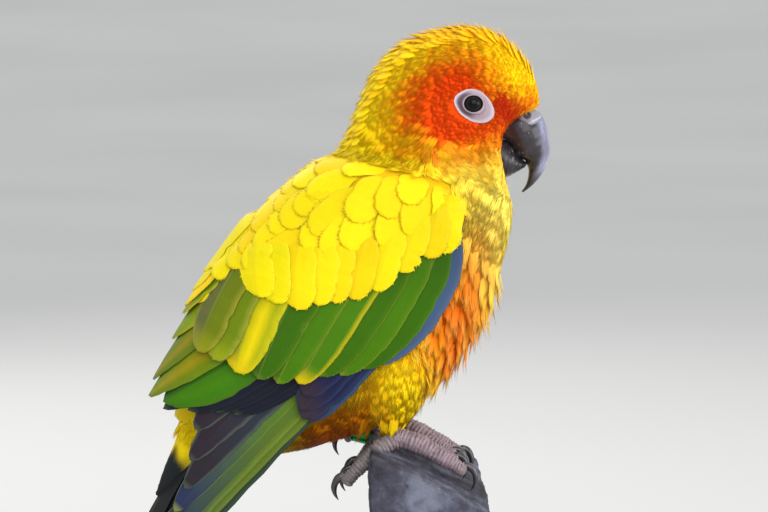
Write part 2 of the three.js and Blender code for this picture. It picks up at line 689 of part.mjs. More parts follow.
const cuts = [...NECK_CUTS, RUMP_CUT];
const parted = cuts.reduce((solid, p) => solid.subtract(cutAcross(p)), body);
const flesh = [
  upperBillGrown, lowerBillGrown, cereGrown, ...eyes, ...legsGrown, legBand(banded, GAP), tailBaseGrown,
  ...LEGS.flatMap(toesGrown), ...LEGS.flatMap(clawsGrown),
].reduce((solid, s) => solid.subtract(s), parted);
const lengths = flesh.decompose().filter((b) => b.volume() > 200);
const height = (solid) => (solid.boundingBox().min[2] + solid.boundingBox().max[2]) / 2;
lengths.sort((a, b) => height(b) - height(a));
["head", "neck", "torso", "rump"].forEach((name, i) => add(name, lengths[i], SKIN));

add("cere", cere, { color: 0x8f8a90, roughness: 0.6 });
add("bill_upper", upperBill, HORN);
add("bill_lower", lowerBill, HORN);
for (const [name, side] of sides) {
  add(`eye_${name}`, eyeBall(side), { color: 0x0a0808, roughness: 0.05 });
  add(`eyelids_${name}`, eyeRing(side), { color: 0xd9d0d6, roughness: 0.8 });
  const clear = [bodyGrown, tailBaseGrown, ...LEGS.map((leg) => thighBall(leg, GAP))];
  const wing = clear.reduce((solid, s) => solid.subtract(s), wingSolid(side));
  add(`wing_${name}`, wing, { color: 0x7a9a2c, roughness: 0.75 });
}
add("tail", tail, { color: 0x2c3038, roughness: 0.7 });

add("leg_band", legBand(banded), { color: 0x149a4c, roughness: 0.25, metalness: 0.6 });

let perch = perchSolid();
for (const leg of LEGS) {
  const toes = joined(TOES.map((toe) => toeTube(toe, leg)));
  const foot = clawsGrown(leg).reduce((solid, c) => solid.subtract(c), toes).subtract(shankTube(leg, GAP));
  const covered = [shankTube(leg, GAP), legBand(banded, GAP), ...toesGrown(leg)];
  add(`thigh_${leg.name}`, thighBall(leg).subtract(joined(covered)), SKIN);
  add(`shank_${leg.name}`, shankTube(leg), SCALY);
  add(`foot_${leg.name}`, foot, SCALY);
  for (const toe of TOES) add(`claw_${leg.name}_${toe.name}`, claw(toe, leg), HORN);
  perch = [...toesGrown(leg), ...clawsGrown(leg)].reduce((solid, s) => solid.subtract(s), perch);
}
const rodTop = 84 + ROD_SOCKET;
[-1, 1].forEach((way, i) => {
  const y = (PERCH_NEAR + PERCH_FAR) / 2 + (way * ROD_SPACING) / 2;
  perch = perch.subtract(roundBar(ROD_RADIUS + GAP, 60, rodTop + GAP, 1, y));
  add(`stand_rod_${i + 1}`, roundBar(ROD_RADIUS, BASE_HEIGHT + GAP, rodTop, 1, y),
    { color: 0xb8bcc0, roughness: 0.3, metalness: 1 });
});
add("perch", perch, { color: 0x6f6c74, roughness: 0.95 });
add("stand_base", baseSolid(), { color: 0x24262a, roughness: 0.5 });

export default group;
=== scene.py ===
"""Looks of a perched sun conure: plumage, skin, bill, eyes, feet, leg ring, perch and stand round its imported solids."""

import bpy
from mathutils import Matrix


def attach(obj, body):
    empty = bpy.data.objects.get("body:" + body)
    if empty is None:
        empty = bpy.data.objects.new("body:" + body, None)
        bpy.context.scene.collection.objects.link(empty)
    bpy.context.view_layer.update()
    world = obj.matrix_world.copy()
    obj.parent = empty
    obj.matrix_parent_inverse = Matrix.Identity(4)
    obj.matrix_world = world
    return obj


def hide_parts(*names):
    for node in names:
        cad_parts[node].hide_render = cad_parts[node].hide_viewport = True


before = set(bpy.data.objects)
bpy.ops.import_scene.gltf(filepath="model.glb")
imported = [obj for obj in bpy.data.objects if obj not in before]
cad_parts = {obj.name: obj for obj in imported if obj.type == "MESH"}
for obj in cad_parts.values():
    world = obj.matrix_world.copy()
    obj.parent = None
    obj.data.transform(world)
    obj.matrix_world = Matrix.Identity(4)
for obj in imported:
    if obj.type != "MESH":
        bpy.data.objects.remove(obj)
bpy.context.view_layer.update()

import logging
import math
from dataclasses import dataclass
from enum import Enum
from functools import partial
from typing import Callable, Iterable, Sequence

import bpy
import numpy as np
from mathutils import Vector
from mathutils.bvhtree import BVHTree

log = logging.getLogger("conure")
Array = np.ndarray
Object = bpy.types.Object
Material = bpy.types.Material
Node = bpy.types.Node
Socket = bpy.types.NodeSocket
Tree = bpy.types.NodeTree
Colour = tuple[float, float, float]

MM = 0.001

# Sizes in millimetres, the same as the solids have. A body section is the back's point, the breast's point and the
# half width, from face to tail root.
BODY = np.array([
    [30.6, 203.2, 22.6, 199.8, 6.0], [28.9, 210.9, 18.8, 194.4, 10.6], [23.6, 218.6, 17.4, 187.4, 14.6],
    [14.9, 224.0, 20.8, 182.2, 16.9], [3.1, 223.6, 22.8, 177.2, 17.8], [-6.5, 220.2, 22.8, 171.4, 17.9],
    [-13.9, 212.4, 22.2, 167.8, 17.7], [-18.6, 202.3, 21.5, 163.7, 18.0], [-23.8, 192.6, 20.7, 158.6, 19.0],
    [-33.6, 187.4, 19.2, 151.0, 19.6], [-40.4, 179.2, 15.4, 143.6, 19.4], [-45.2, 169.3, 10.2, 136.0, 18.8],
    [-50.3, 159.6, 4.2, 128.8, 17.6], [-54.4, 149.6, -4.6, 121.8, 15.8], [-57.1, 139.6, -16.6, 116.2, 13.8],
    [-60.4, 130.6, -27.0, 113.2, 11.2], [-62.4, 122.6, -35.6, 111.4, 8.6],
])
UPPER_BILL = np.array([
    [26.5, 203.2, 17.5, 196.5, 5.4], [29.6, 201.6, 20.4, 194.6, 6.2], [31.4, 198.6, 22.2, 192.6, 6.2],
    [32.3, 195.0, 23.8, 190.0, 5.6], [32.5, 191.6, 25.6, 188.6, 4.7], [31.8, 188.4, 26.9, 187.2, 3.7],
    [30.4, 185.4, 27.0, 185.0, 2.7], [28.2, 182.7, 26.3, 182.6, 1.7], [25.7, 180.7, 25.2, 181.0, 0.7],
])
LOWER_BILL = np.array([
    [18.0, 195.6, 14.5, 185.4, 5.2], [21.2, 194.6, 18.9, 184.5, 5.9], [23.2, 192.4, 21.6, 184.9, 5.4],
    [25.0, 190.0, 23.9, 186.0, 4.3], [26.6, 188.6, 25.9, 187.2, 2.8],
])
CERE = np.array([
    [25.6, 203.2, 21.0, 199.0, 4.4], [28.0, 202.7, 22.6, 198.5, 5.7], [29.9, 201.3, 24.2, 198.2, 6.2],
    [30.5, 199.9, 25.6, 197.4, 5.9],
])
TAIL_BASE = np.array([
    [-60.0, 131.0, -39.0, 119.0, 8.2], [-63.6, 123.5, -43.6, 112.5, 7.8], [-66.8, 115.5, -51.0, 106.5, 6.6],
    [-69.9, 108.0, -60.2, 102.5, 4.4], [-72.4, 101.0, -69.0, 99.2, 1.6],
])
FACE = (((12.2, 15.4, 13.4), (9.0, 0.0, 193.0)), ((10.0, 12.6, 8.4), (15.4, 0.0, 203.0)))
NOSTRIL = (26.2, 201.0)
SECTION_SQUARENESS = 0.88
EYE_RADIUS = 3.5
EYE_OPENING = 2.25
EYE_PLACE = (12.0, 15.1, 204.1)
# The bare skin's edge round the right eye: forwards and upwards from the eye's middle.
BARE_EDGE = np.array([
    [5.2, -2.5], [4.5, -0.6], [2.9, 1.6], [0.5, 3.1], [-2.4, 2.8], [-4.6, 1.1], [-3.7, -1.2], [-1.6, -3.2],
    [1.2, -4.4], [3.8, -4.2],
])
WRIST = (8.0, 178.0)
WING_LENGTH = 151.0
WING_AXIS = (-0.6415, -0.767)
WING_ACROSS = (-0.767, 0.6415)
WING_HALF_WIDTH = np.array([
    [-10, 15.0], [0, 17.2], [20, 18.6], [40, 18.6], [60, 17.6], [80, 15.8], [100, 13.8], [120, 11.8], [151, 8.8],
])
WING_BACK_EDGE = np.array([
    [-10, 27], [22, 34.8], [34, 36], [53, 34.3], [63, 33], [80, 29.5], [90, 27], [151, 20],
])
WING_CREST = 14.0
WING_UNDER_RADIUS = 45.0
BED_HEIGHT = 3.2
ARM_FRONT = np.array([[-10, 6], [-6, 0], [4, -5], [18, -9.5], [34, -10], [58, -5]])
ARM_BACK = np.array([[-10, 18], [-4, 30], [8, 37], [26, 37], [38, 30], [50, 17], [58, 2]])
# Where the neck's feathers end, as how far along the wing for how far across it.
CREASE = np.array([
    [-14, -13], [-5.6, -10.1], [0.3, -8.1], [10, -5], [17.5, -0.4], [25.2, 4.7], [32, 7.0], [44, 8.0],
])
TAIL_ROOT = (-56.0, 127.5)
TAIL_ANGLE = 62.6
TAIL_LENGTH = 130.0
TAIL_PAIRS = 6
TAIL_ROOF = 24.0
THIGH_RADII = (8.5, 8.2, 13.5)
THIGH_PLACE = (-7.5, 130.5)
THIGH_TILT = 14.0
BAND_RADII = (2.6, 3.4)
BAND_LENGTH = 5.0
PERCH_ENDS = (-42.0, 56.0)
PERCH_CORNERS = np.array([[-14.2, 116.0], [15.5, 102.6], [16.5, 86.0], [2.0, 81.0], [-13.0, 84.5]])
ROD_RADIUS = 3.0
ROD_PLACES = ((1.0, -19.0), (1.0, 33.0))
ROD_TOP = 91.0
BASE_RADIUS = 62.0
BASE_HEIGHT = 9.0


class Side(Enum):
    """The bird's sides, by the sign of y."""

    RIGHT = -1
    LEFT = 1


# Curves and colours

def eased(t: Array | float) -> Array:
    """A smooth step from 0 at t = 0 to 1 at t = 1."""
    t = np.clip(t, 0.0, 1.0)
    return t * t * (3.0 - 2.0 * t)


def mixed(a: Array | float, b: Array | float, share: Array | float) -> Array:
    """The value that lies at a share of the way from a to b."""
    return a + (np.asarray(b) - a) * share


def along(pairs: Array, x: Array | float) -> Array:
    """The value at x of a line through pairs."""
    return np.interp(x, pairs[:, 0], pairs[:, 1])


def spline(points: Sequence, t: Array | float) -> Array:
    """A smooth curve through points.

    Args:
        points: Two or more points of any size.
        t: Where on the curve, from 0 to 1.

    Returns:
        One point for each value of t.
    """
    pts = np.asarray(points, float)
    last = len(pts) - 1
    p = np.clip(np.asarray(t, float), 0.0, 1.0) * last
    i = np.minimum(p.astype(int), last - 1)
    w = (p - i)[..., None]
    a, b, c, d = (pts[np.clip(i + k, 0, last)] for k in (-1, 0, 1, 2))
    v0, v1 = (c - a) / 2, (d - b) / 2
    return (2 * b - 2 * c + v0 + v1) * w**3 + (-3 * b + 3 * c - 2 * v0 - v1) * w**2 + v0 * w + b


def paint(red: float, green: float, blue: float) -> Array:
    """A colour given as it looks on a screen, 0 to 255, in scene light."""
    c = np.array([red, green, blue]) / 255.0
    return np.where(c <= 0.04045, c / 12.92, ((c + 0.055) / 1.055) ** 2.4)


def unit(v: Array) -> Array:
    """Vectors of length one."""
    return v / np.maximum(np.linalg.norm(v, axis=-1, keepdims=True), 1e-9)


def waves(points: Array, size: float, seed: int) -> Array:
    """A soft, repeatable ripple in space.

    Args:
        points: Places, in millimetres.
        size: The usual width of a ripple, in millimetres.
        seed: Which ripple.

    Returns:
        A number from about -1 to 1 for each place.
    """
    rng = np.random.default_rng(seed)
    total = np.zeros(points.shape[:-1])
    for _ in range(6):
        way = unit(rng.normal(size=3)) * (2 * math.pi / size) * rng.uniform(0.6, 1.6)
        total += np.sin(points @ way + rng.uniform(0, 6.28))
    return total / 3.2


def sections(table: Array, p: Array, extra: Array | float = 0.0) -> tuple[Array, Array, Array]:
    """Back points, breast points and half widths at places p of a table of sections, grown by extra."""
    row = spline(table, np.asarray(p) / (len(table) - 1))
    back, front, half = row[..., 0:2], row[..., 2:4], row[..., 4]
    share = (extra / np.linalg.norm(back - front, axis=-1))[..., None]
    return back - (front - back) * share, front - (back - front) * share, half + extra


def loft(
    table: Array, steps: int, sides: int, extra: Callable | float = 0.0, fullness: Callable | float = 0.05
) -> Array:
    """Rings of points over a table of sections.

    Args:
        table: The sections.
        steps: How many steps there are between rings.
        sides: How many points a ring has.
        extra: How far the rings are grown, or a function of the place p.
        fullness: How far the widest place moves towards the front, or a function of p.

    Returns:
        An array of rings, in millimetres.
    """
    p = np.linspace(0, len(table) - 1, steps + 1)
    grown = extra(p) if callable(extra) else np.full_like(p, extra)
    full = fullness(p) if callable(fullness) else np.full_like(p, fullness)
    back, front, half = sections(table, p, grown)
    angle = np.linspace(0, 2 * math.pi, sides, endpoint=False)[None, :]
    t = (1 - np.cos(angle)) / 2
    sine = np.sin(angle)
    wide = half[:, None] * np.sign(sine) * np.abs(sine) ** SECTION_SQUARENESS
    wide = wide * (1 - full[:, None] * np.cos(angle))
    flat = mixed(back[:, None, :], front[:, None, :], t[..., None])
    return np.stack([flat[..., 0], wide, flat[..., 1]], axis=-1)


def body_fullness(p: Array) -> Array:
    """The head is round and the belly widest low down."""
    return 0.02 + 0.1 * eased((4 - p) / 3) + 0.48 * eased((p - 9) / 5)


# Meshes

def new_piece(name: str, points: Array, faces: Iterable[Array], smooth: bool = True) -> Object:
    """An object from arrays, placed in its mesh.

    Args:
        name: The piece's name.
        points: Places of the vertices, in millimetres.
        faces: Arrays of vertex numbers, one row a face.
        smooth: Whether the faces are shaded smoothly.

    Returns:
        The object, in the scene.
    """
    faces = [np.asarray(f, np.int32) for f in faces if len(f)]
    mesh = bpy.data.meshes.new(name)
    corners = np.concatenate([f.ravel() for f in faces])
    counts = np.concatenate([np.full(len(f), f.shape[1]) for f in faces])
    mesh.vertices.add(len(points))
    mesh.vertices.foreach_set("co", (np.asarray(points) * MM).astype(np.float32).ravel())
    mesh.loops.add(len(corners))
    mesh.loops.foreach_set("vertex_index", corners)
    mesh.polygons.add(len(counts))
    mesh.polygons.foreach_set("loop_start", np.concatenate([[0], np.cumsum(counts)[:-1]]).astype(np.int32))
    mesh.update(calc_edges=True)
    if smooth:
        mesh.shade_smooth()
    piece = bpy.data.objects.new(name, mesh)
    bpy.context.scene.collection.objects.link(piece)
    return piece


def ring_faces(rings: int, sides: int) -> list[Array]:
    """Quads between rings of points and a fan over each end, for points with one extra at each end's middle."""
    r, k = np.meshgrid(np.arange(rings - 1), np.arange(sides), indexing="ij")
    a, b = (r * sides + k).ravel(), (r * sides + (k + 1) % sides).ravel()
    quads = np.stack([a, b, b + sides, a + sides], axis=1)
    k = np.arange(sides)
    low = np.stack([(k + 1) % sides, k, np.full(sides, rings * sides)], axis=1)
    top = (rings - 1) * sides
    high = np.stack([top + k, top + (k + 1) % sides, np.full(sides, rings * sides + 1)], axis=1)
    return [quads, np.concatenate([low, high])]


def closed_skin(name: str, rings: Array, flipped: bool = False) -> Object:
    """A closed surface over rings of points, facing outwards."""
    count, sides = rings.shape[:2]
    points = np.concatenate([rings.reshape(-1, 3), [rings[0].mean(axis=0)], [rings[-1].mean(axis=0)]])
    faces = ring_faces(count, sides)
    if flipped:
        faces = [f[:, ::-1] for f in faces]
    piece = new_piece(name, points, faces)
    face_outwards(piece)
    return piece


def only(piece: Object) -> None:
    """Makes a piece the only one selected, and the active one."""
    bpy.ops.object.select_all(action="DESELECT")
    piece.select_set(True)
    bpy.context.view_layer.objects.active = piece


def face_outwards(piece: Object) -> None:
    """Turns every face of a closed piece outwards."""
    only(piece)
    bpy.ops.object.mode_set(mode="EDIT")
    bpy.ops.mesh.select_all(action="SELECT")
    bpy.ops.mesh.normals_make_consistent(inside=False)
    bpy.ops.object.mode_set(mode="OBJECT")


def settled(piece: Object, name: str) -> Object:
    """Names a new primitive and writes its place, turn and size into its mesh."""
    only(piece)
    bpy.ops.object.transform_apply(location=True, rotation=True, scale=True)
    piece.name = name
    piece.data.name = name
    return piece


def shaped(piece: Object, kind: str, **values: object) -> Object:
    """Adds a modifier with these values and applies it."""
    only(piece)
    modifier = piece.modifiers.new(kind.title(), kind)
    for key, value in values.items():
        setattr(modifier, key, value)
    bpy.ops.object.modifier_apply(modifier=modifier.name)
    return piece


def joined(pieces: Sequence[Object], name: str) -> Object:
    """Several pieces as one."""
    bpy.ops.object.select_all(action="DESELECT")
    for piece in pieces:
        piece.select_set(True)
    bpy.context.view_layer.objects.active = pieces[0]
    bpy.ops.object.join()
    pieces[0].name = name
    return pieces[0]


def crisp(piece: Object, degrees: float) -> Object:
    """Shades a piece smoothly, with every sharper edge left crisp."""
    only(piece)
    bpy.ops.object.shade_smooth_by_angle(angle=math.radians(degrees))
    return piece


def upright(radius: float, low: float, high: float, x: float, y: float, corners: int) -> Object:
    """An upright cylinder, in millimetres."""
    bpy.ops.object.select_all(action="DESELECT")
    bpy.ops.mesh.primitive_cylinder_add(
        vertices=corners, radius=radius * MM, depth=(high - low) * MM, location=(x * MM, y * MM, (high + low) / 2 * MM),
    )
    return bpy.context.active_object


def ellipsoid(radii: Sequence[float], place: Sequence[float], tilt: float = 0.0) -> Object:
    """A ball stretched to its radii and turned about the Y axis by tilt degrees, in millimetres."""
    bpy.ops.object.select_all(action="DESELECT")
    bpy.ops.mesh.primitive_uv_sphere_add(
        segments=64, ring_count=40, radius=1, location=Vector(place) * MM, scale=Vector(radii) * MM,
        rotation=(0, math.radians(tilt), 0),
    )
    return settled(bpy.context.active_object, "ball")


def colour_points(piece: Object, colours: Array) -> None:
    """Writes one colour a vertex, read by materials as tone."""
    layer = piece.data.attributes.new("tone", "FLOAT_COLOR", "POINT")
    rgba = np.concatenate([np.maximum(colours, 0), np.ones((len(colours), 1))], axis=1)
    layer.data.foreach_set("color", rgba.astype(np.float32).ravel())


def map_points(piece: Object, name: str, places: Array) -> None:
    """Writes a UV map from one place a vertex."""
    mesh = piece.data
    corner = np.empty(len(mesh.loops), np.int32)
    mesh.loops.foreach_get("vertex_index", corner)
    layer = mesh.uv_layers.new(name=name)
    layer.data.foreach_set("uv", places[corner].astype(np.float32).ravel())


def places_of(piece: Object) -> Array:
    """The piece's vertices, in millimetres."""
    co = np.empty(len(piece.data.vertices) * 3, np.float32)
    piece.data.vertices.foreach_get("co", co)
    return co.reshape(-1, 3).astype(float) / MM


def move_points(piece: Object, points: Array) -> None:
    """Puts the piece's vertices at new places, in millimetres."""
    piece.data.vertices.foreach_set("co", (points * MM).astype(np.float32).ravel())
    piece.data.update()


# The body's own map, its surface and its markings

class BodyMap:
    """Where a place lies along the body and round it, and which way its feathers lie."""

    def __init__(self, samples: int = 481) -> None:
        """Samples the body's sections finely."""
        self.p = np.linspace(0, len(BODY) - 1, samples)
        self.back, self.front, _ = sections(BODY, self.p)
        self.line = self.front - self.back
        self.length = np.linalg.norm(self.line, axis=1)
        onward = np.gradient((self.back + self.front) / 2, axis=0)
        way = np.stack([-self.line[:, 1], self.line[:, 0]], axis=1)
        way *= np.sign((way * onward).sum(axis=1))[:, None]
        self.way = unit(way)

    def locate(self, points: Array) -> tuple[Array, Array, Array]:
        """The place along the body, the share from back to breast and the lie of the feathers.

        Args:
            points: Places, in millimetres.

        Returns:
            p from 0 to 16, t from 0 to 1, and directions of length one that have no part along y.
        """
        found = np.empty(len(points), int)
        share = np.empty(len(points))
        for start in range(0, len(points), 4000):
            q = points[start:start + 4000, None, :][..., [0, 2]] - self.back[None]
            t = (q * self.line).sum(axis=2) / self.length**2
            away = np.abs(q[..., 1] * self.line[:, 0] - q[..., 0] * self.line[:, 1]) / self.length
            away += 60 * np.maximum(np.maximum(-t - 0.15, t - 1.15), 0)
            k = away.argmin(axis=1)
            found[start:start + 4000] = k
            share[start:start + 4000] = t[np.arange(len(k)), k]
        way = self.way[found]
        return self.p[found], np.clip(share, 0, 1), np.stack([way[:, 0], np.zeros(len(way)), way[:, 1]], axis=1)

    def unwrapped(self, points: Array) -> Array:
        """A place on the skin's own unwrap, from 0 to 1 both ways."""
        p, t, _ = self.locate(points)
        turn = np.arccos(1 - 2 * t) / math.pi
        return np.stack([0.5 + 0.48 * np.sign(points[:, 1]) * turn, 0.02 + 0.96 * p / 16], axis=1)


@dataclass(frozen=True)
class Blush:
    """A soft patch of colour on the plumage, seen from the side."""

    place: tuple[float, float]
    radii: tuple[float, float]
    colour: Colour
    strength: float = 1.0
    tilt: float = 0.0
    softness: float = 0.5


class Plumage:
    """The colours of the small feathers all over the bird."""

    GROUND = (255, 224, 14)
    BLUSHES = (
        Blush((10, 221), (16, 7), (254, 186, 10), 0.8, -6),
        Blush((9, 213.5), (9, 4.0), (242, 92, 6), 0.85, 4, 0.6),
        Blush((24, 212), (8, 9), (254, 204, 4), 0.9, -50),
        Blush((-5, 212), (8, 8), (254, 206, 10), 0.6, 30),
        Blush((5.5, 203), (14, 11), (243, 80, 6), 1.0, 0, 0.42),
        Blush((8, 209.5), (8.5, 4.5), (238, 66, 4), 0.85, 10, 0.6),
        Blush((7, 196.5), (13, 5.5), (242, 72, 10), 0.9, -10, 0.6),
        Blush((20, 199), (7, 7), (240, 82, 6), 0.8, -20, 0.6),
        Blush((20.5, 202.5), (6.5, 4.5), (180, 32, 4), 0.95, -22, 0.6),
        Blush((27.5, 204.5), (4, 2.0), (236, 96, 8), 0.85, 0, 0.6),
        Blush((15, 188.5), (9, 5), (255, 166, 14), 0.85, -10, 0.6),
        Blush((2, 186), (14, 4), (255, 212, 20), 0.7, -22, 0.7),
        # A thin darker orange line along the crease where the neck's feathers end over the shoulder: partly the
        # plumage's own colour, partly painted shade of the crease.
        Blush((3, 186.4), (17, 1.3), (226, 128, 10), 0.6, -15, 0.9),
        Blush((14, 181), (14, 5), (255, 226, 64), 0.85, -22, 0.7),
        Blush((21, 165), (14, 21), (255, 234, 100), 0.97, 4, 0.5),
        Blush((5, 151), (9, 19), (243, 118, 6), 0.95, -20, 0.5),
        Blush((17, 147), (6, 15), (255, 204, 50), 0.8, -30, 0.6),
        Blush((4, 139), (12, 11), (236, 92, 4), 0.95, -25, 0.55),
        Blush((-6, 132), (8, 12), (255, 216, 16), 0.95, 10, 0.55),
        Blush((-19, 124), (9, 9), (214, 112, 6), 0.85, -20, 0.6),
        Blush((-27, 117), (15, 8), (138, 56, 4), 0.95, -12, 0.6),
        Blush((-70, 104), (9, 10), (40, 44, 44), 1.0, 0, 0.25),
    )

    def at(self, points: Array) -> Array:
        """The plumage's colour at places in millimetres."""
        x, z = points[:, 0], points[:, 2]
        colour = np.tile(paint(*self.GROUND), (len(points), 1))
        drift = 1.0 * waves(points, 5.0, 3)
        for blush in self.BLUSHES:
            turn = math.radians(blush.tilt)
            dx, dz = x - blush.place[0], z - blush.place[1]
            u = (dx * math.cos(turn) + dz * math.sin(turn)) / (blush.radii[0] + drift)
            v = (dz * math.cos(turn) - dx * math.sin(turn)) / (blush.radii[1] + drift)
            reach = np.hypot(u, v)
            share = blush.strength * eased((1.0 + blush.softness - reach) / (2 * blush.softness))
            colour = mixed(colour, paint(*blush.colour), share[:, None])
        return colour


class Surface:
    """A mesh that feathers lie on."""

    def __init__(self, piece: Object) -> None:
        """Reads the mesh's faces and its smooth normals."""
        mesh = piece.data
        self.points = places_of(piece)
        mesh.calc_loop_triangles()
        tris = np.empty(len(mesh.loop_triangles) * 3, np.int32)
        mesh.loop_triangles.foreach_get("vertices", tris)
        self.tris = tris.reshape(-1, 3)
        normals = np.empty(len(mesh.vertices) * 3, np.float32)
        mesh.vertices.foreach_get("normal", normals)
        self.normals = unit(normals.reshape(-1, 3)[self.tris].mean(axis=1))
        self.tree = BVHTree.FromPolygons(self.points.tolist(), self.tris.tolist())

    def nearest(self, places: Array) -> tuple[Array, Array]:
        """The surface's nearest points and its normals there."""
        near = np.empty_like(places)
        faces = np.empty(len(places), int)
        for i, place in enumerate(places.tolist()):
            at, _, face, _ = self.tree.find_nearest(place)
            near[i] = at
            faces[i] = face
        return near, self.normals[faces]

    def holds(self, places: Array, reach: float = 4.0) -> Array:
        """Whether places lie inside the mesh, not deeper than reach."""
        near, normals = self.nearest(places)
        gap = places - near
        return ((gap * normals).sum(axis=1) < -0.1) & (np.linalg.norm(gap, axis=1) < reach)

    def scatter(self, spacing: float, seed: int, keep: Callable[[Array], Array]) -> Array:
        """Places spread evenly over the surface, no two nearer than spacing.

        Args:
            spacing: The least distance, in millimetres.
            seed: Which draw.
            keep: Says which of many places may be used.

        Returns:
            The places.
        """
        rng = np.random.default_rng(seed)
        corner = self.points[self.tris]
        area = np.linalg.norm(np.cross(corner[:, 1] - corner[:, 0], corner[:, 2] - corner[:, 0]), axis=1) / 2
        wanted = keep(corner.mean(axis=1))
        area = np.where(wanted, area, 0)
        count = int(area.sum() / spacing**2 * 6)
        face = rng.choice(len(area), size=count, p=area / area.sum())
        u, v = rng.random(count), rng.random(count)
        u, v = np.where(u + v > 1, 1 - u, u)[:, None], np.where(u + v > 1, 1 - v, v)[:, None]
        places = corner[face, 0] * (1 - u - v) + corner[face, 1] * u + corner[face, 2] * v
        cells: dict[tuple[int, int, int], list[int]] = {}
        kept = []
        grid = np.floor(places / spacing).astype(int).tolist()
        for i, (cx, cy, cz) in enumerate(grid):
            near = [
                j for ax in (cx - 1, cx, cx + 1) for ay in (cy - 1, cy, cy + 1) for az in (cz - 1, cz, cz + 1)
                for j in cells.get((ax, ay, az), ())
            ]
            if near and (((places[near] - places[i]) ** 2).sum(axis=1) < spacing**2).any():
                continue
            cells.setdefault((cx, cy, cz), []).append(i)
            kept.append(i)
        return places[kept]

    def trace(self, roots: Array, lengths: Array, steps: int, lie: Callable[[Array, Array], Array]) -> list[Array]:
        """Follows the lie of feathers over the surface from each root.

        Args:
            roots: Places on the surface.
            lengths: How far each feather reaches.
            steps: How many steps each takes.
            lie: Gives directions for places and normals.

        Returns:
            Points, normals and directions along each feather, by feather and step.
        """
        place, normal = self.nearest(roots)
        points, normals, ways = [place], [normal], []
        for _ in range(steps):
            ways.append(lie(place, normal))
            place, normal = self.nearest(place + ways[-1] * (lengths / steps)[:, None])
            points.append(place)
            normals.append(normal)
        ways.append(ways[-1])
        return [np.stack(v, axis=1) for v in (points, normals, ways)]


# Finishes

class Wiring:
    """Places and joins the nodes of one tree."""

    def __init__(self, tree: Tree) -> None:
        """Keeps the tree."""
        self.tree = tree

    def feed(self, node: Node, key: str | int, value: object) -> None:
        """Sets a node's input to a value, or joins it to a socket."""
        if isinstance(value, Socket):
            self.tree.links.new(value, node.inputs[key])
        else:
            node.inputs[key].default_value = value

    def node(self, kind: str, inputs: dict[str | int, object] | None = None, **values: object) -> Node:
        """A node with its own values and its inputs fed."""
        node = self.tree.nodes.new(kind)
        for key, value in values.items():
            setattr(node, key, value)
        for key, value in (inputs or {}).items():
            self.feed(node, key, value)
        return node

    def effect(self, tree: Tree, **inputs: object) -> bpy.types.NodeOutputs:
        """The outputs of a shared effect with its inputs fed."""
        return self.node("ShaderNodeGroup", inputs, node_tree=tree).outputs

    def place(self, stretch: tuple[float, float, float] | None = None) -> Socket:
        """Object coordinates, scaled along each axis where that is asked."""
        place = self.node("ShaderNodeTexCoord").outputs["Object"]
        return self.node("ShaderNodeMapping", {"Vector": place, "Scale": stretch}).outputs[0] if stretch else place

    def tone(self) -> Socket:
        """The colour painted on the piece's points."""
        return self.node("ShaderNodeAttribute", attribute_name="tone").outputs["Color"]

    def noise(self, place: Socket, scale: object, detail: float, roughness: float = 0.5) -> Socket:
        """Soft noise from 0 to 1."""
        inputs = {"Vector": place, "Scale": scale, "Detail": detail, "Roughness": roughness}
        return self.node("ShaderNodeTexNoise", inputs).outputs["Fac"]

    def ramp(self, factor: Socket, stops: Sequence[tuple[float, Array]]) -> Socket:
        """A colour ramp through stops of a place and a colour."""
        node = self.node("ShaderNodeValToRGB", {"Fac": factor})
        ramp = node.color_ramp
        while len(ramp.elements) < len(stops):
            ramp.elements.new(0.5)
        for element, (place, colour) in zip(ramp.elements, stops):
            element.position = place
            element.color = (*colour, 1)
        return node.outputs["Color"]

    def maths(self, operation: str, *values: object) -> Socket:
        """The result of a sum on numbers or sockets."""
        return self.node("ShaderNodeMath", dict(enumerate(values)), operation=operation).outputs[0]

    def more(self, base: object, value: object, share: object) -> Socket:
        """The base with a share of a value added."""
        return self.maths("ADD", base, self.maths("MULTIPLY", value, share))

    def blended(self, share: object, a: object, b: object, kind: str = "MIX") -> Socket:
        """Colour a with b laid over it."""
        node = self.node("ShaderNodeMix", {0: share, 6: a, 7: b}, data_type="RGBA", blend_type=kind)
        return node.outputs[2]


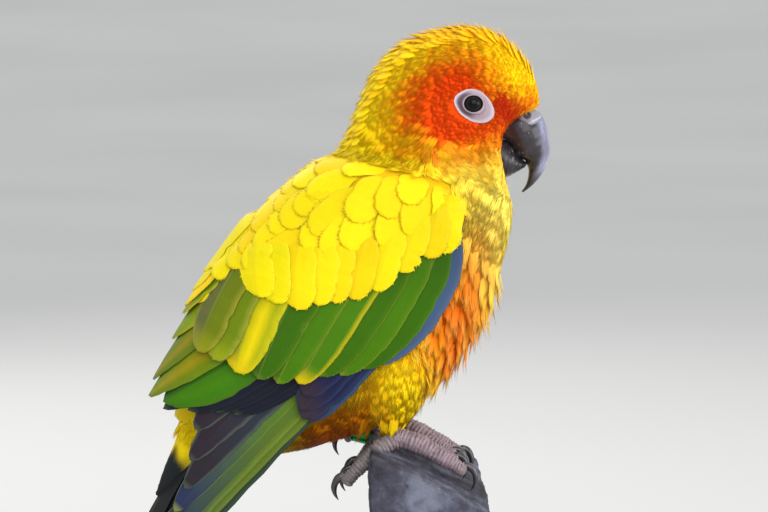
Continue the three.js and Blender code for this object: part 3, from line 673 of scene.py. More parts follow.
class SharedEffects:
    """Node groups that several finishes use, each built once."""

    def __init__(self) -> None:
        """Builds the groups."""
        self.mottle = self._mottle()
        self.barbs = self._barbs()

    @staticmethod
    def _tree(name: str, inputs: dict[str, float], outputs: Sequence[str]) -> Tree:
        """An empty group with a vector, named numbers and named outputs."""
        tree = bpy.data.node_groups.new(name, "ShaderNodeTree")
        tree.interface.new_socket("Vector", in_out="INPUT", socket_type="NodeSocketVector")
        for key, value in inputs.items():
            tree.interface.new_socket(key, in_out="INPUT", socket_type="NodeSocketFloat").default_value = value
        for key in outputs:
            tree.interface.new_socket(key, in_out="OUTPUT", socket_type="NodeSocketFloat")
        return tree

    def _mottle(self) -> Tree:
        """Uneven light and dark at two sizes, as a factor round 1."""
        tree = self._tree("Mottle", {"Scale": 300, "Amount": 0.3}, ["Factor", "Height"])
        w = Wiring(tree)
        given = w.node("NodeGroupInput").outputs
        fine = w.noise(given["Vector"], given["Scale"], 5.0, 0.6)
        spread = w.maths("MULTIPLY", w.maths("SUBTRACT", fine, 0.5), given["Amount"])
        w.node("NodeGroupOutput", {"Factor": w.maths("ADD", spread, 1.0), "Height": fine})
        return tree

    def _barbs(self) -> Tree:
        """The barbs of a vane, slanting from its shaft to its edge, from a map in millimetres."""
        tree = self._tree("Barbs", {"Spacing": 0.4, "Slant": 1.2}, ["Shade", "Height"])
        w = Wiring(tree)
        given = w.node("NodeGroupInput").outputs
        place = w.node("ShaderNodeSeparateXYZ", {0: given["Vector"]}).outputs
        aside = w.maths("ABSOLUTE", place[0])
        lie = w.maths("SUBTRACT", place[1], w.maths("MULTIPLY", aside, given["Slant"]))
        lie = w.more(lie, w.noise(given["Vector"], 0.5, 2.0), 1.6)
        wave = w.maths("SINE", w.maths("DIVIDE", w.maths("MULTIPLY", lie, 2 * math.pi), given["Spacing"]))
        across = w.node("ShaderNodeCombineXYZ", {0: aside, 1: w.maths("MULTIPLY", lie, 4.0)}).outputs[0]
        tuft = w.noise(across, 0.9, 3.0)
        shade = w.more(w.more(0.84, tuft, 0.32), wave, 0.03)
        w.node("NodeGroupOutput", {"Shade": shade, "Height": w.more(tuft, wave, 0.5)})
        return tree


@dataclass(frozen=True)
class Finish:
    """One material: its name and the plain numbers of its surface."""

    name: str
    roughness: float = 0.6
    specular: float = 0.4
    coat: float = 0.0
    metallic: float = 0.0
    bump: float = 0.3

    def wire(self, w: Wiring, shader: Node, effects: SharedEffects) -> None:
        """Feeds the shader, which each finish does its own way."""
        raise NotImplementedError

    def make(self, effects: SharedEffects) -> Material:
        """Builds the material round one Principled shader."""
        material = bpy.data.materials.new(self.name)
        material.use_nodes = True
        shader = material.node_tree.nodes["Principled BSDF"]
        shader.inputs["Roughness"].default_value = self.roughness
        shader.inputs["Specular IOR Level"].default_value = self.specular
        shader.inputs["Coat Weight"].default_value = self.coat
        shader.inputs["Coat Roughness"].default_value = 0.06
        shader.inputs["Metallic"].default_value = self.metallic
        self.wire(Wiring(material.node_tree), shader, effects)
        return material

    def raised(self, w: Wiring, shader: Node, height: Socket, distance: float) -> None:
        """Feeds a height into the shader's normal."""
        bump = w.node("ShaderNodeBump", {"Height": height, "Strength": self.bump, "Distance": distance * MM})
        w.feed(shader, "Normal", bump.outputs["Normal"])


@dataclass(frozen=True)
class DownFinish(Finish):
    """Small feathers and the skin under them, coloured by their own tone."""

    def wire(self, w: Wiring, shader: Node, effects: SharedEffects) -> None:
        """Lays a fine mottle over the tone."""
        mottle = w.effect(effects.mottle, Vector=w.place(), Scale=900, Amount=0.1)
        w.feed(shader, "Base Color", w.blended(1.0, w.tone(), mottle["Factor"], "MULTIPLY"))
        self.raised(w, shader, mottle["Height"], 0.1)


@dataclass(frozen=True)
class VaneFinish(Finish):
    """Vaned feathers, with barbs that follow the vane's own map."""

    def wire(self, w: Wiring, shader: Node, effects: SharedEffects) -> None:
        """Lays the barbs over the tone."""
        place = w.node("ShaderNodeUVMap", uv_map="Vane").outputs["UV"]
        barbs = w.effect(effects.barbs, Vector=place, Spacing=0.42, Slant=1.3)
        w.feed(shader, "Base Color", w.blended(1.0, w.tone(), barbs["Shade"], "MULTIPLY"))
        self.raised(w, shader, barbs["Height"], 0.12)


@dataclass(frozen=True)
class HornFinish(Finish):
    """Dark horn with pale growth lines, worn spots and small scratches."""

    dark: Colour = (38, 33, 40)
    light: Colour = (120, 112, 118)
    stretch: tuple[float, float, float] = (1.0, 1.0, 0.35)

    def wire(self, w: Wiring, shader: Node, effects: SharedEffects) -> None:
        """Lays growth lines and worn spots under the tone."""
        turned = w.place(self.stretch)
        broad, fine = w.noise(turned, 220.0, 6.0, 0.62), w.noise(turned, 1500.0, 4.0)
        worn = w.more(w.noise(turned, 1500.0, 2.0), w.noise(w.place(), 140.0, 1.0), 0.5)
        spot = w.maths("GREATER_THAN", worn, 0.96)
        middle = mixed(np.array(self.dark), np.array(self.light), 0.35)
        stops = [(0.3, paint(*self.dark)), (0.52, paint(*middle)), (0.75, paint(*self.light))]
        colour = w.blended(w.maths("MULTIPLY", spot, 0.5), w.ramp(broad, stops), (*paint(170, 165, 170), 1))
        w.feed(shader, "Base Color", w.blended(1.0, colour, w.tone(), "MULTIPLY"))
        w.feed(shader, "Roughness", w.more(self.roughness, fine, 0.2))
        self.raised(w, shader, w.more(broad, fine, 0.4), 0.18)


@dataclass(frozen=True)
class SkinFinish(Finish):
    """Bare skin, wrinkled and a little wet looking, coloured by its own tone."""

    scale: float = 900.0

    def wire(self, w: Wiring, shader: Node, effects: SharedEffects) -> None:
        """Lays creases between small cells over the tone, each crease darkened as painted shade."""
        place = w.place()
        mottle = w.effect(effects.mottle, Vector=place, Scale=self.scale, Amount=0.4)
        cells = w.node("ShaderNodeTexVoronoi", {"Vector": place, "Scale": self.scale}, feature="DISTANCE_TO_EDGE")
        crease = w.maths("MINIMUM", w.maths("MULTIPLY", cells.outputs["Distance"], 6.0), 1.0)
        colour = w.blended(1.0, w.tone(), mottle["Factor"], "MULTIPLY")
        # The creases are darkened as painted shade.
        w.feed(shader, "Base Color", w.blended(1.0, colour, w.more(0.62, crease, 0.38), "MULTIPLY"))
        self.raised(w, shader, crease, 0.12)


@dataclass(frozen=True)
class EyeFinish(Finish):
    """A dark iris round a black pupil, under a clear wet surface."""

    def wire(self, w: Wiring, shader: Node, effects: SharedEffects) -> None:
        """Lays fine streaks over the tone."""
        streaks = w.more(0.6, w.noise(w.place(), 2500.0, 3.0), 0.8)
        w.feed(shader, "Base Color", w.blended(1.0, w.tone(), streaks, "MULTIPLY"))


@dataclass(frozen=True)
class WoodFinish(Finish):
    """Wood: a grain along one axis, with cracks and two or three colours."""

    colours: tuple[Colour, ...] = ()
    stretch: tuple[float, float, float] = (1.0, 0.12, 1.0)
    scale: float = 90.0
    grain: float = 0.5
    spread: float = 0.14
    flakes: float = 0.0

    def wire(self, w: Wiring, shader: Node, effects: SharedEffects) -> None:
        """Mixes the colours along the grain, then adds cracks and pale flakes."""
        place = w.place()
        broad = w.noise(place, self.scale, 5.0, 0.6)
        grain = w.noise(w.place(self.stretch), self.scale * 9, 7.0, 0.7)
        share = w.more(w.maths("MULTIPLY", broad, 1 - self.grain), grain, self.grain)
        first, step = 0.5 - self.spread, 2 * self.spread / (len(self.colours) - 1)
        colour = w.ramp(share, [(first + step * i, paint(*c)) for i, c in enumerate(self.colours)])
        crack = w.maths("LESS_THAN", grain, 0.36)
        colour = w.blended(w.maths("MULTIPLY", crack, 0.6), colour, (*paint(34, 28, 32), 1))
        flakes = w.node("ShaderNodeTexVoronoi", {"Vector": place, "Scale": 330.0}).outputs["Distance"]
        bare = w.maths("LESS_THAN", flakes, w.maths("MULTIPLY", w.maths("SUBTRACT", broad, 0.42), self.flakes))
        pale = (*np.minimum(paint(*self.colours[-1]) * 1.4, 1), 1)
        w.feed(shader, "Base Color", w.blended(w.maths("MULTIPLY", bare, 0.7), colour, pale))
        w.feed(shader, "Roughness", w.more(self.roughness, grain, 0.15))
        self.raised(w, shader, grain, 0.5)


@dataclass(frozen=True)
class MetalFinish(Finish):
    """Metal with fine turning or brushing lines and small scuffs."""

    colour: Colour = (184, 188, 192)
    stretch: tuple[float, float, float] = (1.0, 1.0, 30.0)

    def wire(self, w: Wiring, shader: Node, effects: SharedEffects) -> None:
        """Adds lines and scuffs to the plain metal."""
        lines, scuffs = w.noise(w.place(self.stretch), 400.0, 4.0), w.noise(w.place(), 700.0, 6.0)
        base = paint(*self.colour)
        stops = [(0.35, base * 0.6), (0.5, base), (0.7, np.minimum(base * 1.35, 1))]
        w.feed(shader, "Base Color", w.ramp(scuffs, stops))
        w.feed(shader, "Roughness", w.more(self.roughness, lines, 0.2))
        self.raised(w, shader, lines, 0.05)


@dataclass(frozen=True)
class StageFinish(Finish):
    """The plain pale floor."""

    def wire(self, w: Wiring, shader: Node, effects: SharedEffects) -> None:
        """Lays a faint cloud on the floor."""
        stops = [(0.3, paint(206, 204, 200)), (0.7, paint(212, 210, 206))]
        w.feed(shader, "Base Color", w.ramp(w.noise(w.place(), 1.2, 1.0), stops))


class Slot(Enum):
    """The record's material slots."""

    BODY = "feathers_body"
    WING = "feathers_wing"
    TAIL = "feathers_tail"
    HORN = "horn"
    CLAWS = "claws"
    CERE = "cere"
    BARE = "bare_skin"
    SCALES = "scales"
    EYE = "eye"
    BAND = "band"
    PERCH = "perch_wood"
    BASE = "stand_base"
    RODS = "stand_rods"


class Workshop:
    """Dresses pieces: the finishes, the body they ride on and the nodes they stand for."""

    def __init__(self) -> None:
        """Builds every finish once."""
        effects = SharedEffects()
        self.down = DownFinish("small_feathers", 0.6, 0.06).make(effects)
        self.vane = VaneFinish("vaned_feathers", 0.5, 0.08, bump=0.15).make(effects)
        self.horn = HornFinish("bill_horn", 0.24, 0.35, coat=0.2, dark=(32, 28, 33), light=(76, 70, 78)).make(effects)
        self.claw = HornFinish("claw_horn", 0.22, 0.5, coat=0.4, dark=(22, 19, 22), light=(88, 80, 84)).make(effects)
        self.cere = SkinFinish("cere_skin", 0.42, 0.4, scale=3200, bump=0.15).make(effects)
        self.lids = SkinFinish("bare_eye_skin", 0.42, 0.4, scale=4200, bump=0.25).make(effects)
        self.scales = SkinFinish("scaly_skin", 0.5, 0.4, scale=2600, bump=0.35).make(effects)
        self.eye = EyeFinish("wet_eye", 0.12, 0.16).make(effects)
        self.band = MetalFinish("green_band", 0.16, metallic=0.9, bump=0.2, colour=(16, 158, 84),
                                stretch=(8.0, 1.0, 8.0)).make(effects)
        self.rods = MetalFinish("brushed_steel", 0.22, metallic=1.0, bump=0.2).make(effects)
        self.bark = WoodFinish("weathered_wood", 0.72, 0.3, bump=0.9, scale=40, grain=0.22, spread=0.09,
                               flakes=1.0, colours=((38, 31, 38), (70, 70, 84), (112, 116, 132))).make(effects)
        self.base = WoodFinish(
            "dark_stained_wood", 0.32, 0.5, coat=0.3, bump=0.15, scale=26, grain=0.7, stretch=(0.1, 1.0, 1.0),
            colours=((26, 18, 14), (44, 31, 24), (64, 46, 34)),
        ).make(effects)
        self.floor = StageFinish("pale_floor", 0.85, 0.2).make(effects)

    def dress(self, piece: Object, material: Material, slot: Slot, replaces: Sequence[str] = ()) -> Object:
        """Gives a piece its material and its body, hides the nodes it stands for, and reports it."""
        piece.data.materials.clear()
        piece.data.materials.append(material)
        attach(piece, "root")
        if replaces:
            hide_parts(*replaces)
        log.info("%s: %d faces", piece.name, len(piece.data.polygons))
        return piece


# Feathers as meshes

class Feathers:
    """Gathers many feathers that become one mesh."""

    def __init__(self) -> None:
        """Starts with none."""
        self.points: list[Array] = []
        self.faces: list[Array] = []
        self.tones: list[Array] = []
        self.vane: list[Array] = []
        self.bake: list[Array] = []
        self.count = 0

    def _add(self, points: Array, faces: Array, tones: Array, vane: Array, bake: Array) -> None:
        """Adds points, quads or triangles as quads with a doubled corner, and what each point carries."""
        self.points.append(points.reshape(-1, 3))
        self.faces.append(faces + self.count)
        self.tones.append(tones.reshape(-1, 3))
        self.vane.append(vane.reshape(-1, 2))
        self.bake.append(bake.reshape(-1, 2))
        self.count += len(self.points[-1])

    def plates(self, top: Array, under: Array, tones: Array, vane: Array, bake: Array) -> None:
        """Adds thin closed plates.

        Args:
            top: Upper points of each plate, by plate, row and column.
            under: Lower points, the same way.
            tones: Colours of the points.
            vane: Places across and along each vane, in millimetres.
            bake: Places on the piece's own unwrap.
        """
        plates, rows, columns = top.shape[:3]
        size = rows * columns
        r, c = np.meshgrid(np.arange(rows - 1), np.arange(columns - 1), indexing="ij")
        a = (r * columns + c).ravel()
        over = np.stack([a, a + 1, a + columns + 1, a + columns], axis=1)
        below = over[:, ::-1] + size
        k = np.arange(rows - 1) * columns
        low = np.stack([k, k + columns, k + columns + size, k + size], axis=1)
        k = k + columns - 1
        high = np.stack([k, k + size, k + columns + size, k + columns], axis=1)
        k = np.arange(columns - 1)
        root = np.stack([k, k + size, k + 1 + size, k + 1], axis=1)
        k = k + (rows - 1) * columns
        tip = np.stack([k, k + 1, k + 1 + size, k + size], axis=1)
        quads = np.concatenate([over, below, low, high, root, tip])
        along_way, across_way = top[:, 2, 1] - top[:, 1, 1], top[:, 1, 2] - top[:, 1, 1]
        up = np.cross(across_way, along_way)
        if ((up * (top[:, 1, 1] - under[:, 1, 1])).sum(axis=1)).sum() < 0:
            quads = quads[:, ::-1]
        both = np.stack([top, under], axis=1)
        faces = (np.arange(plates)[:, None, None] * 2 * size + quads[None]).reshape(-1, 4)
        self._add(
            both, faces, np.stack([tones, tones], axis=1), np.stack([vane, vane], axis=1),
            np.stack([bake, bake], axis=1),
        )

    def blades(self, rings: Array, tips: Array, tones: Array, vane: Array, bake: Array) -> None:
        """Adds closed blades of three sides that end in a point.

        Args:
            rings: Three points a ring, by blade and ring.
            tips: The blades' last points.
            tones: One colour for each ring and for the tip, by blade.
            vane: Places across and along, by blade and ring with the tip last.
            bake: Places on the piece's own unwrap, the same way.
        """
        blades, count = rings.shape[:2]
        size = count * 3 + 1
        r, k = np.meshgrid(np.arange(count - 1), np.arange(3), indexing="ij")
        a, b = (r * 3 + k).ravel(), (r * 3 + (k + 1) % 3).ravel()
        quads = np.stack([a, b, b + 3, a + 3], axis=1)
        k = np.arange(3)
        last = (count - 1) * 3
        ends = np.stack([last + k, last + (k + 1) % 3, np.full(3, size - 1), np.full(3, size - 1)], axis=1)
        root = np.array([[0, 2, 1, 1]])
        pattern = np.concatenate([quads, ends, root])
        middle = rings[:, 0].mean(axis=1)
        edge = rings[:, 0, 1] - rings[:, 0, 0]
        out = np.cross(edge, rings[:, 1, 0] - rings[:, 0, 0])
        if ((out * (rings[:, 0, :2].mean(axis=1) - middle)).sum(axis=1)).sum() < 0:
            pattern = pattern[:, ::-1]
        points = np.concatenate([rings.reshape(blades, -1, 3), tips[:, None]], axis=1)
        each = np.repeat(np.arange(count), 3).tolist() + [count]
        faces = (np.arange(blades)[:, None, None] * size + pattern[None]).reshape(-1, 4)
        self._add(points, faces, tones[:, each], vane[:, each], bake[:, each])

    def fringe(
        self, top: Array, tones: Array, vane: Array, bake: Array, rng: np.random.Generator, length: float, count: int
    ) -> None:
        """Adds loose barbs round the far half of one plate.

        Args:
            top: The plate's upper points, by row and column.
            tones: Its colours, the same way.
            vane: Its places across and along.
            bake: Its places on the piece's own unwrap.
            rng: The draw of lengths and places.
            length: How far the barbs reach, in millimetres.
            count: How many there are.
        """
        rows, columns = top.shape[:2]
        first = rows // 2
        up = np.arange(first, rows)
        r = np.concatenate([up, np.full(columns - 2, rows - 1), up[::-1]])
        c = np.concatenate([np.zeros(len(up), int), np.arange(1, columns - 1), np.full(len(up), columns - 1)])
        ri = np.where((c > 0) & (c < columns - 1), rows - 2, r)
        ci = np.clip(c, 1, columns - 2)
        edge, inner = top[r, c], top[ri, ci]
        onward = unit(top[np.minimum(r, rows - 1), ci] - top[r - 2, ci])
        way = unit(0.6 * unit(edge - inner) + 0.8 * onward)
        step = np.linalg.norm(np.diff(edge, axis=0), axis=1)
        run = np.concatenate([[0], np.cumsum(step)])
        at = np.sort(rng.uniform(0, run[-1], count))
        i = np.clip(np.searchsorted(run, at) - 1, 0, len(run) - 2)
        w = ((at - run[i]) / np.maximum(step[i], 1e-6))[:, None]
        base = edge[i] * (1 - w) + edge[i + 1] * w
        d = unit(way[i] * (1 - w) + way[i + 1] * w + rng.normal(0, 0.12, (count, 3)))
        across_row = unit(top[-3, -2] - top[-3, 1])
        normal = unit(np.cross(across_row, unit(top[-1, columns // 2] - top[-4, columns // 2])))
        side = unit(np.cross(normal, d))
        reach = length * rng.uniform(0.5, 1.25, (count, 1))
        half = rng.uniform(0.1, 0.17, (count, 1))
        root, middle = base - d * 0.5, base + d * reach * 0.5
        rings = np.stack([
            np.stack([p - side * h, p + side * h, p + normal * h * 0.6], axis=1)
            for p, h in ((root, half), (middle, half * 0.8))
        ], axis=1)
        tone = tones[r, c][i] * rng.uniform(0.92, 1.06, (count, 1))
        each = np.ones((1, 3, 1))
        self.blades(
            rings, base + d * reach, tone[:, None] * each, vane[r, c][i][:, None] * each, bake[r, c][i][:, None] * each,
        )

    def build(self, name: str) -> Object:
        """Makes the one mesh."""
        faces = np.concatenate(self.faces)
        triangle = (faces[:, 2] == faces[:, 3]) | (faces[:, 0] == faces[:, 1])
        tris = np.where((faces[:, 0] == faces[:, 1])[:, None], faces[:, 1:], faces[:, :3])
        piece = new_piece(name, np.concatenate(self.points), [faces[~triangle], tris[triangle]])
        colour_points(piece, np.concatenate(self.tones))
        map_points(piece, "OFBake", np.concatenate(self.bake))
        map_points(piece, "Vane", np.concatenate(self.vane))
        return piece


# Camera, light and floor

@dataclass
class Studio:
    """The camera of the photograph, soft lights and a pale floor that rises all round."""

    distance: float = 700.0
    aim: tuple[float, float, float] = (-10.74, 0.0, 164.03)
    elevation: float = 4.0
    lens: float = 125.2
    floor_flat: float = 3.0
    floor_radius: float = 12.0

    def camera(self) -> None:
        """Places the camera on the bird's right."""
        data = bpy.data.cameras.new("camera")
        data.lens = self.lens
        data.sensor_width = 36
        data.clip_end = 50
        camera = bpy.data.objects.new("camera", data)
        bpy.context.scene.collection.objects.link(camera)
        tilt = math.radians(self.elevation)
        way = Vector((0, -math.cos(tilt), math.sin(tilt)))
        camera.location = (Vector(self.aim) + way * self.distance) * MM
        camera.rotation_euler = (-way).to_track_quat("-Z", "Y").to_euler()
        bpy.context.scene.camera = camera

    def lamp(self, name: str, place: tuple[float, float, float], size: float, power: float) -> None:
        """A square area light that faces the bird, its place in metres."""
        data = bpy.data.lights.new(name, "AREA")
        data.size = size
        data.energy = power
        lamp = bpy.data.objects.new(name, data)
        bpy.context.scene.collection.objects.link(lamp)
        lamp.location = place
        lamp.visible_camera = False
        lamp.rotation_euler = (Vector((0, 0, 0.16)) - Vector(place)).to_track_quat("-Z", "Y").to_euler()

    def lights(self) -> None:
        """A broad key from above on the camera's side, a fill and a light from behind."""
        self.lamp("key", (0.2, -1.3, 0.7), 1.0, 8.6)
        self.lamp("fill", (1.15, -0.85, 0.25), 0.8, 9.6)
        self.lamp("rim", (-0.5, 0.9, 0.9), 0.7, 6)
        self.lamp("top", (0.1, 0.0, 1.4), 0.7, 3)
        world = bpy.data.worlds.new("world")
        world.use_nodes = True
        background = world.node_tree.nodes["Background"]
        background.inputs["Color"].default_value = (0.93, 0.96, 1.0, 1)
        background.inputs["Strength"].default_value = 0.85
        bpy.context.scene.world = world

    def floor(self, workshop: Workshop) -> None:
        """A round floor whose edge sweeps up."""
        radius = np.linspace(0.25, self.floor_radius, 60)
        rise = 0.012 * np.maximum(radius - self.floor_flat, 0) ** 2
        profile = np.stack([radius, rise], axis=1) * 1000
        angle = np.linspace(0, 2 * math.pi, 96, endpoint=False)
        rings = np.stack([
            profile[:, None, 0] * np.cos(angle), profile[:, None, 0] * np.sin(angle),
            np.broadcast_to(profile[:, None, 1], (len(profile), 96)),
        ], axis=-1)
        points = np.concatenate([rings.reshape(-1, 3), [[0, 0, 0]]])
        quads, fans = ring_faces(len(profile), 96)
        piece = new_piece("floor", points, [quads[:, ::-1], fans[:96, ::-1]])
        piece.data.materials.append(workshop.floor)

    def build(self, workshop: Workshop) -> None:
        """Sets the whole stage."""
        self.camera()
        self.lights()
        self.floor(workshop)
        bpy.context.scene.view_settings.view_transform = "Standard"


# The bird

@dataclass
class Flesh:
    """The one skin of head, neck, body and thighs, inside the solids by the coat's depth."""

    voxel: float = 0.9
    rounds: int = 8

    @staticmethod
    def depth(p: Array) -> Array:
        """The depth of the coat, least on the face."""
        return 0.8 + 0.35 * eased((p - 2) / 3) + 1.15 * eased((p - 6) / 3)

    def build(self, workshop: Workshop, plumage: Plumage) -> Object:
        """Models the skin and dresses it."""
        rings = loft(BODY, 110, 96, lambda p: -self.depth(p), body_fullness)
        parts = [closed_skin("skin", rings)]
        parts += [ellipsoid([r - 0.8 for r in radii], place) for radii, place in FACE]
        for y in (-13.5, 12.5):
            radii = [r - cut for r, cut in zip(THIGH_RADII, (1.6, 1.6, 3.0))]
            parts.append(ellipsoid(radii, (THIGH_PLACE[0], y, THIGH_PLACE[1]), THIGH_TILT))
        parts.append(closed_skin("root", loft(TAIL_BASE, 30, 48, -1.0)))
        skin = joined(parts, "skin")
        shaped(skin, "REMESH", mode="VOXEL", voxel_size=self.voxel * MM)
        shaped(skin, "SMOOTH", factor=0.5, iterations=self.rounds)
        skin.data.shade_smooth()
        # The skin takes the plumage's colours a little darker: painted shade under the coat.
        colour_points(skin, plumage.at(places_of(skin)) * 0.95)
        return workshop.dress(skin, workshop.down, Slot.BODY,
                              ("head", "neck", "torso", "rump", "thigh_right", "thigh_left"))


def bare_reach(angle: Array) -> Array:
    """How far the bare skin reaches from the eye's middle, all round it."""
    edge = np.arctan2(BARE_EDGE[:, 1], BARE_EDGE[:, 0])
    order = np.argsort(edge)
    return np.interp(angle, edge[order], np.hypot(*BARE_EDGE.T)[order], period=2 * math.pi)


def wing_plane(points: Array) -> tuple[Array, Array]:
    """How far places lie along the folded wing from its wrist, and across it, seen from the side."""
    dx, dz = points[..., 0] - WRIST[0], points[..., 2] - WRIST[1]
    return dx * WING_AXIS[0] + dz * WING_AXIS[1], dx * WING_ACROSS[0] + dz * WING_ACROSS[1]


def past_crease(points: Array) -> Array:
    """How far places lie past the line where the neck's feathers end over the shoulder."""
    s, q = wing_plane(points)
    return s - along(CREASE, q)


class WingGuard:
    """Keeps the body's feathers from coming through the folded wings."""

    CELL = 1.5

    def __init__(self, wings: dict[Side, Surface]) -> None:
        """Measures how near the body each place of each wing comes."""
        self.inner = {}
        for side, wing in wings.items():
            near = np.full((124, 50), 60.0)
            for i in range(near.shape[0]):
                for k in range(near.shape[1]):
                    s, q = -14 + self.CELL * (i + 0.5), -20 + self.CELL * (k + 0.5)
                    x = WRIST[0] + WING_AXIS[0] * s + WING_ACROSS[0] * q
                    z = WRIST[1] + WING_AXIS[1] * s + WING_ACROSS[1] * q
                    hit = wing.tree.ray_cast((x, 0, z), (0, side.value, 0))[0]
                    if hit:
                        near[i, k] = abs(hit[1])
            for _ in range(3):
                grown = np.pad(near, 1, constant_values=60.0) + 1.3
                near = np.minimum.reduce([
                    near, grown[:-2, 1:-1], grown[2:, 1:-1], grown[1:-1, :-2], grown[1:-1, 2:],
                ])
            self.inner[side] = near

    def tucked(self, points: Array) -> Array:
        """The same places, moved inwards where they would come through a wing."""
        s, q = wing_plane(points)
        i = np.clip(((s + 14) / self.CELL).astype(int), 0, 123)
        k = np.clip(((q + 20) / self.CELL).astype(int), 0, 49)
        out = points.copy()
        for side, near in self.inner.items():
            limit = near[i, k] - 0.45
            mine = (points[..., 1] * side.value > 0) & (np.abs(points[..., 1]) > limit) & (np.abs(s - 80) < 94)
            mine &= past_crease(points) > 0.5
            out[..., 1] = np.where(mine, side.value * limit, out[..., 1])
        return out


@dataclass
class Ground:
    """The soft shape that feathers of neck, mantle and shoulders lie on: skin and folded arms together."""

    voxel: float = 1.3
    rounds: int = 10
    height: float = 4.5

    FRONT = np.array([[-10, 7], [-6, 1], [4, -4], [11, -5], [20, 0], [33, 4], [39, 9], [46, 14], [52, 20], [66, 28]])
    BACK = np.array([[-10, 18], [-4, 30], [8, 38], [30, 43], [66, 43]])

    def build(self, skin: Object) -> Surface:
        """Measures the shape and removes the mesh it was measured on."""
        copy = skin.copy()
        copy.data = skin.data.copy()
        bpy.context.scene.collection.objects.link(copy)
        parts = [copy]
        for side in Side:
            s, a, rim, sunk = arm_net(self.FRONT, self.BACK, 66, (39, 25), side)
            rim = rim * eased((72 - s) / 10)
            top = wing_point(s, a, (bed(a) + self.height) * rim - sunk, side)
            under = wing_point(s, a, -1.5 - 4.0 * rim - sunk, side)
            arm = Feathers()
            flat = np.zeros((*a.shape, 3))
            arm.plates(top[None], under[None], flat[None], flat[None, ..., :2], flat[None, ..., :2])
            parts.append(arm.build("arm"))
        ground = joined(parts, "ground")
        shaped(ground, "REMESH", mode="VOXEL", voxel_size=self.voxel * MM)
        shaped(ground, "SMOOTH", factor=0.5, iterations=self.rounds)
        surface = Surface(ground)
        bpy.data.objects.remove(ground)
        return surface


@dataclass(frozen=True)
class Coat:
    """One region of small feathers."""

    name: str
    spacing: float
    length: float
    width: float
    depth: float
    blades: int
    keep: Callable[[Array, Array, Array], Array]
    rings: int = 3
    ruffle: float = 0.3
    droop: float = 0.0
    sweep: float = 0.0
    curl: float = 0.0
    gather: float = 0.0
    low: float = 0.0
    over_wings: bool = False
    tip_colour: Colour | None = None
    tip_share: float = 0.0


